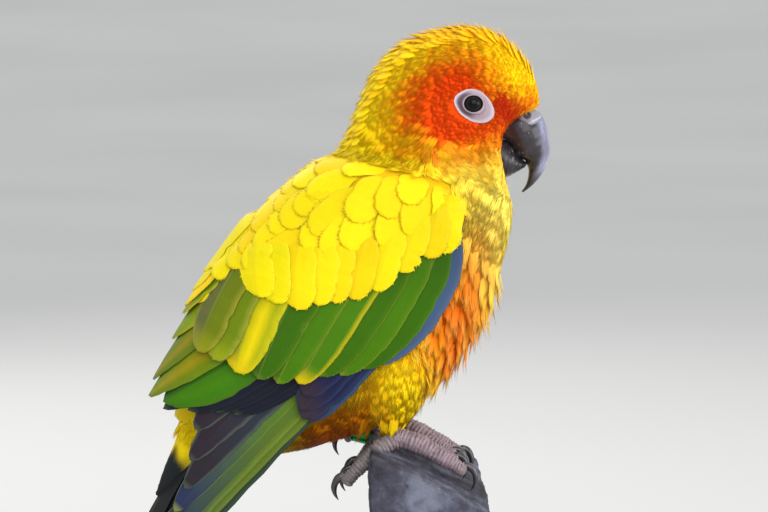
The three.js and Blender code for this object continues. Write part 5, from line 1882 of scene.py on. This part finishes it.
@dataclass
class Bill:
    """The hooked upper bill, the lower bill and the cere with its nostrils."""

    steps: int = 90
    sides: int = 72

    # Where the upper bill's cutting edge lies, as x for a height.
    MOUTH = np.array([[181, 25.3], [187, 26.6], [188.6, 25.4], [190, 23.8], [192.6, 22.2], [195, 20.6], [197, 17.6]])

    def upper(self, workshop: Workshop) -> Object:
        """Models the upper bill with a blunt ridge, a notched cutting edge and fine growth steps."""
        rings = loft(UPPER_BILL, self.steps, self.sides)
        p = np.linspace(0, 8, self.steps + 1)[:, None]
        angle = np.linspace(0, 2 * math.pi, self.sides, endpoint=False)[None, :]
        centre = rings.mean(axis=1, keepdims=True)
        low = np.exp(-(((angle - math.pi) / 1.2) ** 2))
        groove = -0.035 * low * eased((6 - p) / 2)
        notch = -0.16 * np.exp(-(((p - 3.9) / 0.5) ** 2)) * np.exp(-(((np.abs(angle - math.pi)) / 1.0) ** 2))
        growth = 0.006 * np.sin(p * 9 + 1.5 * np.sin(angle * 2)) * eased(p / 2)
        ridge = 0.02 * np.exp(-((np.minimum(angle, 2 * math.pi - angle) / 0.35) ** 2))
        rings = centre + (rings - centre) * (1 + groove + notch + growth + ridge)[..., None]
        piece = closed_skin("upper_bill", rings)
        points = places_of(piece)
        # Lighter at the top and darker towards the hook: painted light and shade.
        shade = mixed(1.1, 0.7, eased((200 - points[:, 2]) / 16))
        back, front, _ = sections(UPPER_BILL, p[:, 0])
        away = (1 - np.cos(angle)) / 2 * np.linalg.norm(back - front, axis=1)[:, None]
        # A painted silver-blue highlight along the ridge of the culmen.
        ridge = eased((3.3 - np.append(away.ravel(), [9, 9])) / 2.0) * eased((points[:, 2] - 183) / 6)
        lip = np.exp(-(((points[:, 0] - along(self.MOUTH, points[:, 2])) / 0.35) ** 2)) * (points[:, 2] < 195)
        tone = mixed(shade[:, None] * np.ones(3), np.array([8.6, 10.4, 11.6]), ridge[:, None] * 0.85)
        colour_points(piece, mixed(tone, np.array([2.4, 2.3, 2.3]), lip[:, None] * 0.6))
        return workshop.dress(piece, workshop.horn, Slot.HORN, ("bill_upper",))

    def lower(self, workshop: Workshop) -> Object:
        """Models the lower bill, hollowed along its cutting edge."""
        rings = loft(LOWER_BILL, 48, 60)
        centre = rings.mean(axis=1, keepdims=True)
        angle = np.linspace(0, 2 * math.pi, 60, endpoint=False)[None, :]
        p = np.linspace(0, 4, 49)[:, None]
        lip = 0.04 * np.cos(angle * 2) - 0.12 * np.exp(-((np.minimum(angle, 2 * math.pi - angle) / 0.5) ** 2))
        rings = centre + (rings - centre) * (0.985 + lip * eased(p / 2) + 0.01 * np.sin(p * 12))[..., None]
        piece = closed_skin("lower_bill", rings)
        points = places_of(piece)
        colour_points(piece, np.full((len(points), 3), 0.7))
        return workshop.dress(piece, workshop.horn, Slot.HORN, ("bill_lower",))

    def cere(self, workshop: Workshop) -> Object:
        """Models the pale swollen skin over the bill and its two round nostrils."""
        rings = loft(CERE, 44, 72)
        piece = closed_skin("cere_skin", rings)
        points = places_of(piece)
        near = np.hypot(points[:, 0] - NOSTRIL[0], points[:, 2] - NOSTRIL[1])
        outer = np.abs(points[:, 1]) > 3.0
        pit = 1.3 * np.exp(-((near / 0.85) ** 4)) * outer
        rim = 0.25 * np.exp(-(((near - 1.35) / 0.45) ** 2)) * outer
        points[:, 1] += np.sign(points[:, 1]) * (rim - pit)
        move_points(piece, points)
        tone = np.tile(paint(150, 150, 162), (len(points), 1))
        tone = mixed(tone, paint(128, 110, 116), eased((26.5 - points[:, 0]) / 3)[:, None] * 0.8)
        front = np.tile(np.linspace(0, 1, 45)[:, None], (1, 72)).ravel()
        tone = mixed(tone, paint(224, 224, 230), np.exp(-(((np.append(front, [0, 0]) - 0.8) / 0.04) ** 2))[:, None] * 0.7)
        # Near black inside the nostrils: painted shade of the openings.
        tone = mixed(tone, paint(38, 26, 28), (np.exp(-((near / 1.0) ** 4)) * outer)[:, None])
        colour_points(piece, tone)
        return workshop.dress(piece, workshop.cere, Slot.CERE, ("cere",))

    def build(self, workshop: Workshop) -> list[Object]:
        """Models all three."""
        return [self.upper(workshop), self.lower(workshop), self.cere(workshop)]


@dataclass
class Eye:
    """An eyeball, its lids and the bare skin round it."""

    side: Side
    around: int = 96

    def ball(self, workshop: Workshop) -> Object:
        """Models the eyeball with a slightly swollen cornea."""
        x, y, z = EYE_PLACE
        piece = ellipsoid((EYE_RADIUS,) * 3, (x, self.side.value * y, z))
        shaped(piece, "SUBSURF", levels=1, render_levels=1)
        piece.name = f"eyeball_{self.side.name.lower()}"
        points = places_of(piece) - np.array([x, self.side.value * y, z])
        reach = np.hypot(points[:, 0], points[:, 2])
        front = points[:, 1] * self.side.value > 0
        points[:, 1] += self.side.value * front * 0.35 * np.exp(-((reach / 1.9) ** 4))
        tone = mixed(paint(6, 5, 7), paint(30, 24, 24), (eased((reach - 1.25) / 0.25) * front)[:, None])
        tone = mixed(tone, paint(10, 8, 10), eased((reach - 1.9) / 0.3)[:, None])
        move_points(piece, points + np.array([x, self.side.value * y, z]))
        piece.data.shade_smooth()
        colour_points(piece, tone)
        return workshop.dress(piece, workshop.eye, Slot.EYE, (f"eye_{self.side.name.lower()}",))

    def evened(self, values: Array, width: int) -> Array:
        """Values round the eye, each the mean of its neighbours."""
        return np.convolve(np.tile(values, 3), np.ones(width) / width, "same")[self.around:2 * self.around]

    def lids(self, workshop: Workshop, surface: Surface) -> Object:
        """Models the rim of the lids and the bare skin down to the feathers, with its folds."""
        x0, y0, z0 = EYE_PLACE
        angle = np.linspace(0, 2 * math.pi, self.around, endpoint=False)
        outer = self.evened(bare_reach((angle + math.pi) % (2 * math.pi) - math.pi), 7) + 0.45
        opening = EYE_OPENING * (1 + 0.06 * np.cos(2 * angle))
        direction = np.stack([np.cos(angle), np.sin(angle)], axis=1)
        rim_places = np.stack([
            x0 + direction[:, 0] * outer, np.full(self.around, self.side.value * 24.0), z0 + direction[:, 1] * outer,
        ], axis=1)
        ground = np.empty(self.around)
        for k, start in enumerate(rim_places.tolist()):
            hit = surface.tree.ray_cast(start, (0, -self.side.value, 0))[0]
            ground[k] = abs(hit[1]) - y0 if hit else 0.0
        ground = self.evened(ground, 9)
        share = np.array([0, 0.02, 0.08, 0.16, 0.24, 0.34, 0.46, 0.58, 0.7, 0.82, 0.92, 1.0])
        lid = math.sqrt(EYE_RADIUS**2 - EYE_OPENING**2)
        bead = np.array([0.1, 0.34, 0.5, 0.44, 0.22, 0.1, 0.16, 0.12, 0.04, 0.05, 0, 0])
        heights = []
        for q, lift in zip(share, bead):
            r = mixed(opening, outer, q)
            on_ball = np.where(r < EYE_RADIUS + 0.1, np.sqrt(np.maximum((EYE_RADIUS + 0.12) ** 2 - r**2, 0)), -9)
            slope = mixed(lid, ground + 0.5, eased(q) ** 0.8)
            fold = 0.14 * np.sin(angle * 2 + 5 * q) * math.sin(math.pi * q)
            heights.append(np.maximum(slope + fold, on_ball) + lift)
        behind = {1.0: -1.6, 0.5: -1.4, 0.06: -0.9}
        heights += [mixed(lid, ground + 0.5, eased(q)) + drop for q, drop in behind.items()]
        share = np.append(share, list(behind))
        count = len(share)
        r = mixed(opening[None], outer[None], share[:, None])
        stack = np.stack([
            x0 + direction[:, 0] * r, self.side.value * (y0 + np.array(heights)), z0 + direction[:, 1] * r,
        ], axis=2)
        r, k = np.meshgrid(np.arange(count), np.arange(self.around), indexing="ij")
        a, b = r * self.around + k, r * self.around + (k + 1) % self.around
        c, d = ((r + 1) % count) * self.around + (k + 1) % self.around, ((r + 1) % count) * self.around + k
        faces = np.stack([a, b, c, d], axis=-1).reshape(-1, 4)
        name = f"eyelids_{self.side.name.lower()}"
        piece = new_piece(name + "_skin", stack.reshape(-1, 3), [faces])
        face_outwards(piece)
        q = np.repeat(share, self.around)
        turn = np.tile(angle, count)
        behind = eased((np.cos(turn - math.radians(195)) + 0.35) / 1.0)
        below = eased((np.cos(turn - math.radians(315)) + 0.2) / 1.0)
        fold = np.exp(-(((q - 0.42) / 0.26) ** 4))
        tone = np.tile(paint(182, 166, 178), (len(q), 1))
        # The fold's grey-purple, deepest on the rear side, is partly the skin's own colour and partly painted shade in
        # the fold.
        tone = mixed(tone, paint(88, 70, 84), (fold * behind)[:, None] * 0.95)
        tone = mixed(tone, paint(170, 142, 152), (fold * below * (1 - behind))[:, None] * 0.8)
        tone = mixed(tone, paint(176, 166, 178), eased((0.14 - q) / 0.06)[:, None] * 0.8)
        tone = mixed(tone, paint(40, 32, 38), eased((0.03 - q) / 0.03)[:, None] * 0.9)
        # A thin dark line round the crease: painted shade, deeper on the rear side.
        tone = mixed(tone, paint(96, 78, 90), (np.exp(-(((q - 0.24) / 0.05) ** 2)) * (0.45 + 0.4 * behind))[:, None])
        tone = mixed(tone, paint(228, 216, 226), eased((q - 0.7) / 0.2)[:, None] * (0.35 + 0.5 * behind)[:, None])
        colour_points(piece, tone)
        return workshop.dress(piece, workshop.lids, Slot.BARE, (name,))

    def build(self, workshop: Workshop, surface: Surface) -> list[Object]:
        """Models the ball and the lids."""
        return [self.ball(workshop), self.lids(workshop, surface)]


@dataclass
class Leg:
    """A scaly shank with its four toes and claws."""

    side: Side
    y: float
    shank: tuple[tuple[float, float, float, float], ...]
    outer_back: tuple[tuple[float, float, float, float], ...]
    inner_back: tuple[tuple[float, float, float, float], ...]

    OUTER_FRONT = ((-7.0, 0.6, 118.2, 2.6), (-1.0, 1.6, 115.9, 2.2), (5.0, 2.4, 112.6, 2.0), (9.4, 2.6, 110.0, 1.7))
    INNER_FRONT = ((-7.0, -0.6, 118.2, 2.4), (-1.5, -3.6, 116.2, 2.1), (4.0, -6.2, 113.0, 1.8), (7.4, -7.6, 111.2, 1.6))

    # A claw's curve: how far ahead of the toe's end and over it, and its radius as a share of the toe's.
    CLAW = ((-1.4, 0.7, 0.55), (0.6, 1.0, 0.62), (2.2, 0.1, 0.56), (3.0, -1.7, 0.44), (2.8, -3.6, 0.28),
            (1.9, -5.2, 0.05))

    def toes(self) -> dict[str, tuple[tuple[float, float, float, float], ...]]:
        """The four toes' lines of x, y outwards, z and radius."""
        return {"outer_front": self.OUTER_FRONT, "inner_front": self.INNER_FRONT, "outer_back": self.outer_back,
                "inner_back": self.inner_back}

    def tube(self, points: Array, steps: int, sides: int, scutes: float) -> Array:
        """Rings along a tube through points of x, y outwards, z and radius, with raised scutes on top."""
        pts = np.asarray(points, float).copy()
        pts[:, 1] = self.y + self.side.value * pts[:, 1]
        t = np.linspace(0, 1, steps + 1)
        line = spline(pts, t)
        way = unit(np.gradient(line[:, :3], axis=0))
        across = unit(np.cross([0, 1, 0], way))
        over = np.cross(way, across)
        angle = np.linspace(0, 2 * math.pi, sides, endpoint=False)
        length = np.linalg.norm(np.diff(line[:, :3], axis=0), axis=1).sum()
        ring = t * length / 0.85
        row = np.floor(ring)[:, None]
        bump = np.abs(np.sin(math.pi * ring[:, None] + 0.35 * np.sin(2 * angle + 1.7 * row))) ** 0.7
        bump = bump * (0.8 + 0.2 * np.sin(2.4 * row + angle))
        upper = eased((np.cos(angle - math.pi) + 0.4) / 1.0)
        knuckle = 0.07 * np.cos(2 * math.pi * t * 3)
        radius = line[:, 3:4] * (1 + knuckle[:, None] * 0.6 + scutes * (bump - 0.6) * (0.5 + 0.5 * upper))
        return (
            line[:, None, :3]
            + across[:, None] * (radius * np.cos(angle))[..., None]
            + over[:, None] * (radius * np.sin(angle))[..., None]
        )

    def foot(self, workshop: Workshop) -> Object:
        """Models shank and toes as one skin."""
        tubes = [self.tube(p, 130, 30, 0.2) for p in self.toes().values()]
        shades = [self.scute_shade(rings) for rings in tubes]
        tubes = [self.rounded(rings) for rings in tubes]
        tubes.append(self.tube(self.shank, 60, 30, 0.12))
        shades.append(self.scute_shade(tubes[-1]))
        shade = np.concatenate([
            np.append(np.concatenate([s, np.ones((len(r) - len(s), 30))]).ravel(), [1, 1]) for s, r in zip(shades, tubes)
        ])
        name = self.side.name.lower()
        piece = joined([closed_skin("toe", rings) for rings in tubes], f"foot_skin_{name}")
        points = places_of(piece)
        tone = np.tile(paint(132, 121, 120), (len(points), 1))
        pink = eased((points[:, 0] + 12) / 8)
        tone = mixed(tone, paint(152, 130, 138), pink[:, None] * 0.8)
        tone = tone * (1 + 0.2 * waves(points, 2.2, 9) + 0.12 * waves(points, 0.9, 10))[:, None]
        # The scutes' painted shade and highlight.
        colour_points(piece, tone * shade[:, None])
        return workshop.dress(piece, workshop.scales, Slot.SCALES, (f"foot_{name}", f"shank_{name}"))

    @staticmethod
    def scute_shade(rings: Array) -> Array:
        """How light a tube's scutes are: dark where its rings are thin, as painted shade in the grooves, and lighter on
        the raised scutes, as a painted highlight.
        """
        reach = np.linalg.norm(rings - rings.mean(axis=1, keepdims=True), axis=2)
        usual = np.stack([np.convolve(np.pad(r, 6, "edge"), np.ones(13) / 13, "valid") for r in reach.T], axis=1)
        return np.clip(1.08 + 5.5 * (reach / usual - 1), 0.5, 1.35)

    @staticmethod
    def rounded(rings: Array) -> Array:
        """Closes a tube's far end with a round pad."""
        centre = rings.mean(axis=1)
        way = unit(centre[-1] - centre[-2])
        reach = np.linalg.norm(rings[-1] - centre[-1], axis=1).mean()
        caps = [centre[-1] + (rings[-1] - centre[-1]) * math.cos(a) + way * reach * 0.7 * math.sin(a)
                for a in np.linspace(0.25, 1.45, 7)]
        return np.concatenate([rings, np.array(caps)])

    def claws(self, workshop: Workshop) -> list[Object]:
        """Models the four claws, curved and flattened at the sides."""
        made = []
        for toe, points in self.toes().items():
            before, end = np.array(points[-2]), np.array(points[-1])
            step = end[[0, 2]] - before[[0, 2]]
            ux = step[0] / np.hypot(*step)
            size, forward = end[3], math.copysign(1, step[0])
            y = self.y + self.side.value * end[1]
            nodes = [
                (end[0] + forward * ahead + 0.3 * ux * size, end[1], end[2] + up, radius * size)
                for ahead, up, radius in self.CLAW
            ]
            rings = self.tube(np.array(nodes), 36, 24, 0.0)
            rings[..., 1] = y + (rings[..., 1] - y) * 0.78
            name = f"claw_{self.side.name.lower()}_{toe}"
            piece = closed_skin(name.replace("claw", "talon"), rings)
            colour_points(piece, np.full((len(piece.data.vertices), 3), 0.9))
            made.append(workshop.dress(piece, workshop.claw, Slot.CLAWS, (name,)))
        return made

    def build(self, workshop: Workshop) -> list[Object]:
        """Models the whole leg."""
        return [self.foot(workshop), *self.claws(workshop)]


@dataclass
class LegBand:
    """The shiny green ring on the left shank."""

    leg: Leg

    def build(self, workshop: Workshop) -> Object:
        """Turns a plain tube, eases its edges and sets it round the shank."""
        upper, middle, lower = (np.array(p) for p in self.leg.shank)
        way = Vector((lower[0] - upper[0], 0, lower[2] - upper[2]))
        inner, outer = BAND_RADII
        bpy.ops.object.select_all(action="DESELECT")
        bpy.ops.mesh.primitive_cylinder_add(
            vertices=96, radius=outer * MM, depth=BAND_LENGTH * MM, end_fill_type="NGON",
            location=Vector((middle[0], self.leg.y, middle[2])) * MM, rotation=way.to_track_quat("Z", "Y").to_euler(),
        )
        piece = bpy.context.active_object
        bpy.ops.object.mode_set(mode="EDIT")
        bpy.ops.mesh.select_all(action="DESELECT")
        bpy.ops.object.mode_set(mode="OBJECT")
        for face in piece.data.polygons:
            face.select = len(face.vertices) > 4
        bpy.ops.object.mode_set(mode="EDIT")
        bpy.ops.mesh.select_mode(type="FACE")
        bpy.ops.mesh.inset(thickness=(outer - inner) * MM, use_individual=True)
        bpy.ops.mesh.bridge_edge_loops()
        bpy.ops.object.mode_set(mode="OBJECT")
        settled(piece, "leg_ring")
        shaped(piece, "BEVEL", width=0.2 * MM, segments=3, limit_method="ANGLE")
        return workshop.dress(crisp(piece, 35), workshop.band, Slot.BAND, ("leg_band",))


@dataclass
class Perch:
    """A cut length of weathered, squared wood."""

    rows: int = 150
    sides: int = 200

    def build(self, workshop: Workshop) -> Object:
        """Models the wood with its worn edges, grain and cracks."""
        loop = np.concatenate([PERCH_CORNERS[-1:], PERCH_CORNERS, PERCH_CORNERS[:2]])
        t = np.arange(self.sides) / self.sides * 5
        i = t.astype(int)
        w = (t - i)[:, None]
        a, b, c, d = (loop[i + k] for k in range(4))
        v0, v1 = (c - a) * 0.16, (d - b) * 0.16
        outline = (2 * b - 2 * c + v0 + v1) * w**3 + (-3 * b + 3 * c - 2 * v0 - v1) * w**2 + v0 * w + b
        y = np.linspace(*PERCH_ENDS, self.rows + 1)
        ring = np.stack([
            np.broadcast_to(outline[:, 0], (len(y), self.sides)), np.broadcast_to(y[:, None], (len(y), self.sides)),
            np.broadcast_to(outline[:, 1], (len(y), self.sides)),
        ], axis=-1).copy()
        middle = np.array([1.0, 0, 98.0])
        out = ring - middle
        out[..., 1] = 0
        out = unit(out)
        grain = waves(ring * [1, 0.07, 1], 2.2, 21) * 0.28 + waves(ring * [1, 0.16, 1], 6.0, 22) * 0.35
        split = -1.1 * np.exp(-((waves(ring * [1, 0.04, 1], 9.0, 25) / 0.05) ** 2))
        worn = waves(ring, 3.0, 23) * 0.18 + waves(ring, 12.0, 24) * 0.3
        under = mixed(0.45, 1.0, eased((104 - ring[..., 2]) / 8))
        ring += out * ((grain + split * 0.6 + worn) * under - 0.25)[..., None]
        near_end = np.minimum(ring[..., 1] - PERCH_ENDS[0], PERCH_ENDS[1] - ring[..., 1])
        ring = mixed(middle * [1, 0, 1] + ring * [0, 1, 0], ring, (1 - 0.05 * np.exp(-near_end / 0.9))[..., None])
        piece = crisp(closed_skin("perch_wood", ring), 50)
        return workshop.dress(piece, workshop.bark, Slot.PERCH, ("perch",))


@dataclass
class Stand:
    """The round base and the two rods."""

    collar_height: float = 2.4
    collar_rim: float = 1.6

    def base(self, workshop: Workshop) -> Object:
        """Turns the base, with an eased upper edge and a shallow groove."""
        piece = upright(BASE_RADIUS, 0, BASE_HEIGHT, 0, 0, 160)
        for face in piece.data.polygons:
            face.select = face.normal.z > 0.9
        bpy.ops.object.mode_set(mode="EDIT")
        bpy.ops.mesh.select_mode(type="FACE")
        for width, depth in ((5, 0), (0.8, 0), (0.2, -0.5), (0.9, 0), (0.2, 0.5)):
            bpy.ops.mesh.inset(thickness=width * MM, depth=depth * MM)
        bpy.ops.object.mode_set(mode="OBJECT")
        settled(piece, "stand_base_turned")
        shaped(piece, "BEVEL", width=1.0 * MM, segments=4, limit_method="ANGLE", angle_limit=math.radians(60))
        return workshop.dress(crisp(piece, 35), workshop.base, Slot.BASE, ("stand_base",))

    def rods(self, workshop: Workshop) -> list[Object]:
        """Makes the rods, each with a small collar at its foot."""
        made = []
        for i, (x, y) in enumerate(ROD_PLACES):
            rod = settled(upright(ROD_RADIUS, BASE_HEIGHT, ROD_TOP, x, y, 64), "rod")
            top = BASE_HEIGHT + self.collar_height
            collar = settled(upright(ROD_RADIUS + self.collar_rim, BASE_HEIGHT, top, x, y, 64), "collar")
            shaped(collar, "BEVEL", width=0.5 * MM, segments=3, limit_method="ANGLE")
            piece = crisp(joined([rod, collar], f"stand_rod_{i + 1}_bright"), 35)
            made.append(workshop.dress(piece, workshop.rods, Slot.RODS, (f"stand_rod_{i + 1}",)))
        return made

    def build(self, workshop: Workshop) -> list[Object]:
        """Makes base and rods."""
        return [self.base(workshop), *self.rods(workshop)]


def under_wing(points: Array) -> Array:
    """Whether places on the body lie well under a folded wing."""
    s, q = wing_plane(points)
    low, high = along(ARM_FRONT, np.clip(s, -10, 58)) + 4.5, along(WING_BACK_EDGE, s) - 7
    return (s > -1) & (q > low) & (q < high) & (np.abs(points[:, 1]) > 7)


def by_eye(points: Array) -> Array:
    """Whether places lie round an eye."""
    reach = np.hypot(points[:, 0] - EYE_PLACE[0], points[:, 2] - EYE_PLACE[2])
    return (reach < 9) & (np.abs(points[:, 1]) > 7)


def on_thigh(points: Array) -> Array:
    """Whether places lie on the feathered thighs."""
    turn = math.radians(THIGH_TILT)
    found = np.zeros(len(points), bool)
    for y in (-13.5, 12.5):
        d = points - np.array([THIGH_PLACE[0], y, THIGH_PLACE[1]])
        x = d[:, 0] * math.cos(turn) - d[:, 2] * math.sin(turn)
        z = d[:, 0] * math.sin(turn) + d[:, 2] * math.cos(turn)
        reach = np.sqrt((x / THIGH_RADII[0]) ** 2 + (d[:, 1] / THIGH_RADII[1]) ** 2 + (z / THIGH_RADII[2]) ** 2)
        found |= (reach < 1.02) & (d[:, 1] * math.copysign(1, y) > -5)
    return found


COATS = (
    Coat("coat_eyes", 0.68, 3.3, 1.4, 0.3, 6, lambda p, t, q: by_eye(q), rings=2, ruffle=0.05),
    Coat("coat_face", 0.78, 4.0, 1.7, 0.3, 7, lambda p, t, q: (p > 0.02) & (p < 2.5) & ~by_eye(q), rings=2,
         ruffle=0.06),
    Coat("coat_crown", 0.88, 6.0, 2.5, 0.26, 9, lambda p, t, q: (p >= 2.5) & (p < 6.6) & (t < 0.34) & ~by_eye(q),
         rings=2, ruffle=0.12, curl=0.08, tip_colour=(254, 200, 20), tip_share=0.15),
    # The crest's pale tips are painted light: the glow of light shining through them from behind.
    Coat("coat_crest", 1.5, 6.4, 3.0, 1.0, 10, lambda p, t, q: (p >= 0.8) & (p < 9.0) & (t < 0.085), ruffle=0.8,
         curl=0.9, gather=0.4, tip_colour=(255, 226, 60), tip_share=0.7),
    Coat("coat_cheeks", 0.92, 6.0, 2.5, 0.25, 8, lambda p, t, q: (
        (p >= 2.5) & (p < 5.4) & (t >= 0.34) & (past_crease(q) < -1.5) & ~by_eye(q)
    ), rings=2, ruffle=0.08, sweep=0.3),
    Coat("coat_nape", 1.1, 9.0, 3.2, 0.32, 9, lambda p, t, q: (
        (p >= 6.6) & (t < 0.34) & (p < 12) & (past_crease(q) < -1)
    ), rings=2, ruffle=0.15, curl=0.1, over_wings=True, tip_colour=(255, 214, 30), tip_share=0.2),
    Coat("coat_neck", 1.05, 9.5, 3.0, 0.5, 10, lambda p, t, q: (
        (p >= 5.2) & (t >= 0.34) & (p < 12) & (past_crease(q) < -1)
    ), rings=2, ruffle=0.2, curl=0.15, sweep=0.9, over_wings=True, tip_colour=(252, 190, 20), tip_share=0.2),
    Coat("coat_shoulder_front", 1.3, 8.5, 3.2, 0.8, 9, lambda p, t, q: (
        (past_crease(q) >= -2) & (np.abs(wing_plane(q)[1]) < 4.5) & (wing_plane(q)[0] < 12) & (np.abs(q[:, 1]) > 8)
    ), rings=2, ruffle=0.3, droop=0.6, over_wings=True, tip_colour=(255, 214, 60), tip_share=0.4),
    Coat("coat_breast", 1.4, 12.0, 5.0, 0.5, 12, lambda p, t, q: (
        (p >= 3.6) & (p < 12.8) & (t >= 0.4) & (past_crease(q) >= -2) & ~under_wing(q) & ~on_thigh(q)
    ), rings=2, ruffle=0.35, droop=0.3, curl=0.1, gather=0.1, low=117, tip_colour=(254, 202, 60), tip_share=0.35),
    Coat("coat_fringe", 2.3, 11.5, 3.4, 2.1, 10, lambda p, t, q: (
        (p >= 7.0) & (p < 12.2) & (t >= 0.74) & ~under_wing(q) & ~on_thigh(q)
    ), ruffle=1.6, droop=0.6, curl=0.7, gather=0.5, low=117, tip_colour=(255, 214, 96), tip_share=0.8),
    Coat("coat_rump", 1.6, 8.5, 3.8, 1.1, 9, lambda p, t, q: (
        (p >= 10) & (t < 0.4) & (wing_plane(q)[0] > 30) & ~under_wing(q) & (q[:, 2] > 121)
    ), rings=2, ruffle=0.3, low=116, tip_colour=(254, 216, 30), tip_share=0.4),
    Coat("coat_thighs", 1.2, 8.5, 3.2, 0.45, 10, lambda p, t, q: on_thigh(q) & ~under_wing(q), rings=2, ruffle=0.3,
         droop=0.75, gather=0.2, low=118, tip_colour=(255, 214, 30), tip_share=0.4),
    Coat("coat_thigh_fringe", 1.6, 8.0, 2.8, 1.3, 9, lambda p, t, q: on_thigh(q) & ~under_wing(q) & (q[:, 2] < 125),
         ruffle=1.0, droop=0.8, curl=2.2, gather=0.4, low=108, tip_colour=(255, 214, 40), tip_share=0.5),
    Coat("coat_vent", 1.3, 9.0, 3.2, 0.6, 9, lambda p, t, q: (
        (p >= 12.8) & (t >= 0.4) & ~under_wing(q) & ~on_thigh(q) & ~((np.abs(q[:, 0] + 16) < 7) & (q[:, 2] < 124))
        & ~((q[:, 0] < -58) & (q[:, 2] < 121))
    ), rings=2, ruffle=0.3, droop=0.1, low=111, tip_colour=(200, 104, 10), tip_share=0.25),
    Coat("coat_groin", 1.2, 3.2, 2.0, 0.6, 6, lambda p, t, q: (
        (np.abs(q[:, 0] + 16) < 7) & (q[:, 2] < 123.5) & ~on_thigh(q)
    ), rings=2, ruffle=0.2),
)


def main() -> None:
    """Builds the stage and every piece in order."""
    logging.basicConfig(level=logging.INFO, format="%(message)s")
    workshop = Workshop()
    Studio().build(workshop)
    plumage, body_map = Plumage(), BodyMap()
    skin = Flesh().build(workshop, plumage)
    surface = Surface(skin)
    bill = Bill().build(workshop)
    for side in Side:
        Eye(side).build(workshop, surface)
    wings = {side: Surface(WingFeathers(side).build(workshop)) for side in Side}
    ground = Ground().build(skin)
    small = SmallFeathers(surface, ground, body_map, plumage, WingGuard(wings))
    barred = [Surface(piece) for piece in bill]
    for number, coat in enumerate(COATS):
        workshop.dress(small.lay(coat, 100 + number, barred), workshop.down, Slot.BODY)
    ShoulderFeathers(ground, body_map, plumage).build(workshop)
    TailFeathers().build(workshop)
    right = Leg(
        Side.RIGHT, -13.5, ((-11.8, 0, 127.0, 2.5), (-9.6, 0, 122.2, 2.2), (-6.8, 0, 118.0, 2.7)),
        ((-6.8, 0.8, 118.0, 2.5), (-11.6, 2.2, 115.6, 2.1), (-16.4, 2.8, 111.2, 1.9), (-20.2, 3.0, 107.4, 1.8)),
        ((-7.2, -0.8, 118.0, 2.3), (-11.8, -3.0, 115.4, 1.9), (-15.6, -4.6, 111.6, 1.7), (-18.6, -5.2, 108.4, 1.5)),
    )
    left = Leg(
        Side.LEFT, 12.5, ((-25.0, 0, 122.0, 2.2), (-16.6, 0, 116.4, 2.0), (-7.6, 0, 117.4, 2.5)),
        ((-6.8, 0.8, 118.0, 2.5), (-12.0, 4.2, 116.4, 2.0), (-17.0, 5.8, 115.2, 1.8), (-20.6, 5.8, 114.0, 1.6)),
        ((-7.2, -0.8, 118.0, 2.3), (-11.8, -3.0, 115.2, 1.9), (-15.0, -4.2, 111.4, 1.7), (-17.6, -4.6, 108.2, 1.5)),
    )
    for leg in (right, left):
        leg.build(workshop)
    LegBand(left).build(workshop)
    Perch().build(workshop)
    Stand().build(workshop)


if __name__ == "__main__":
    main()
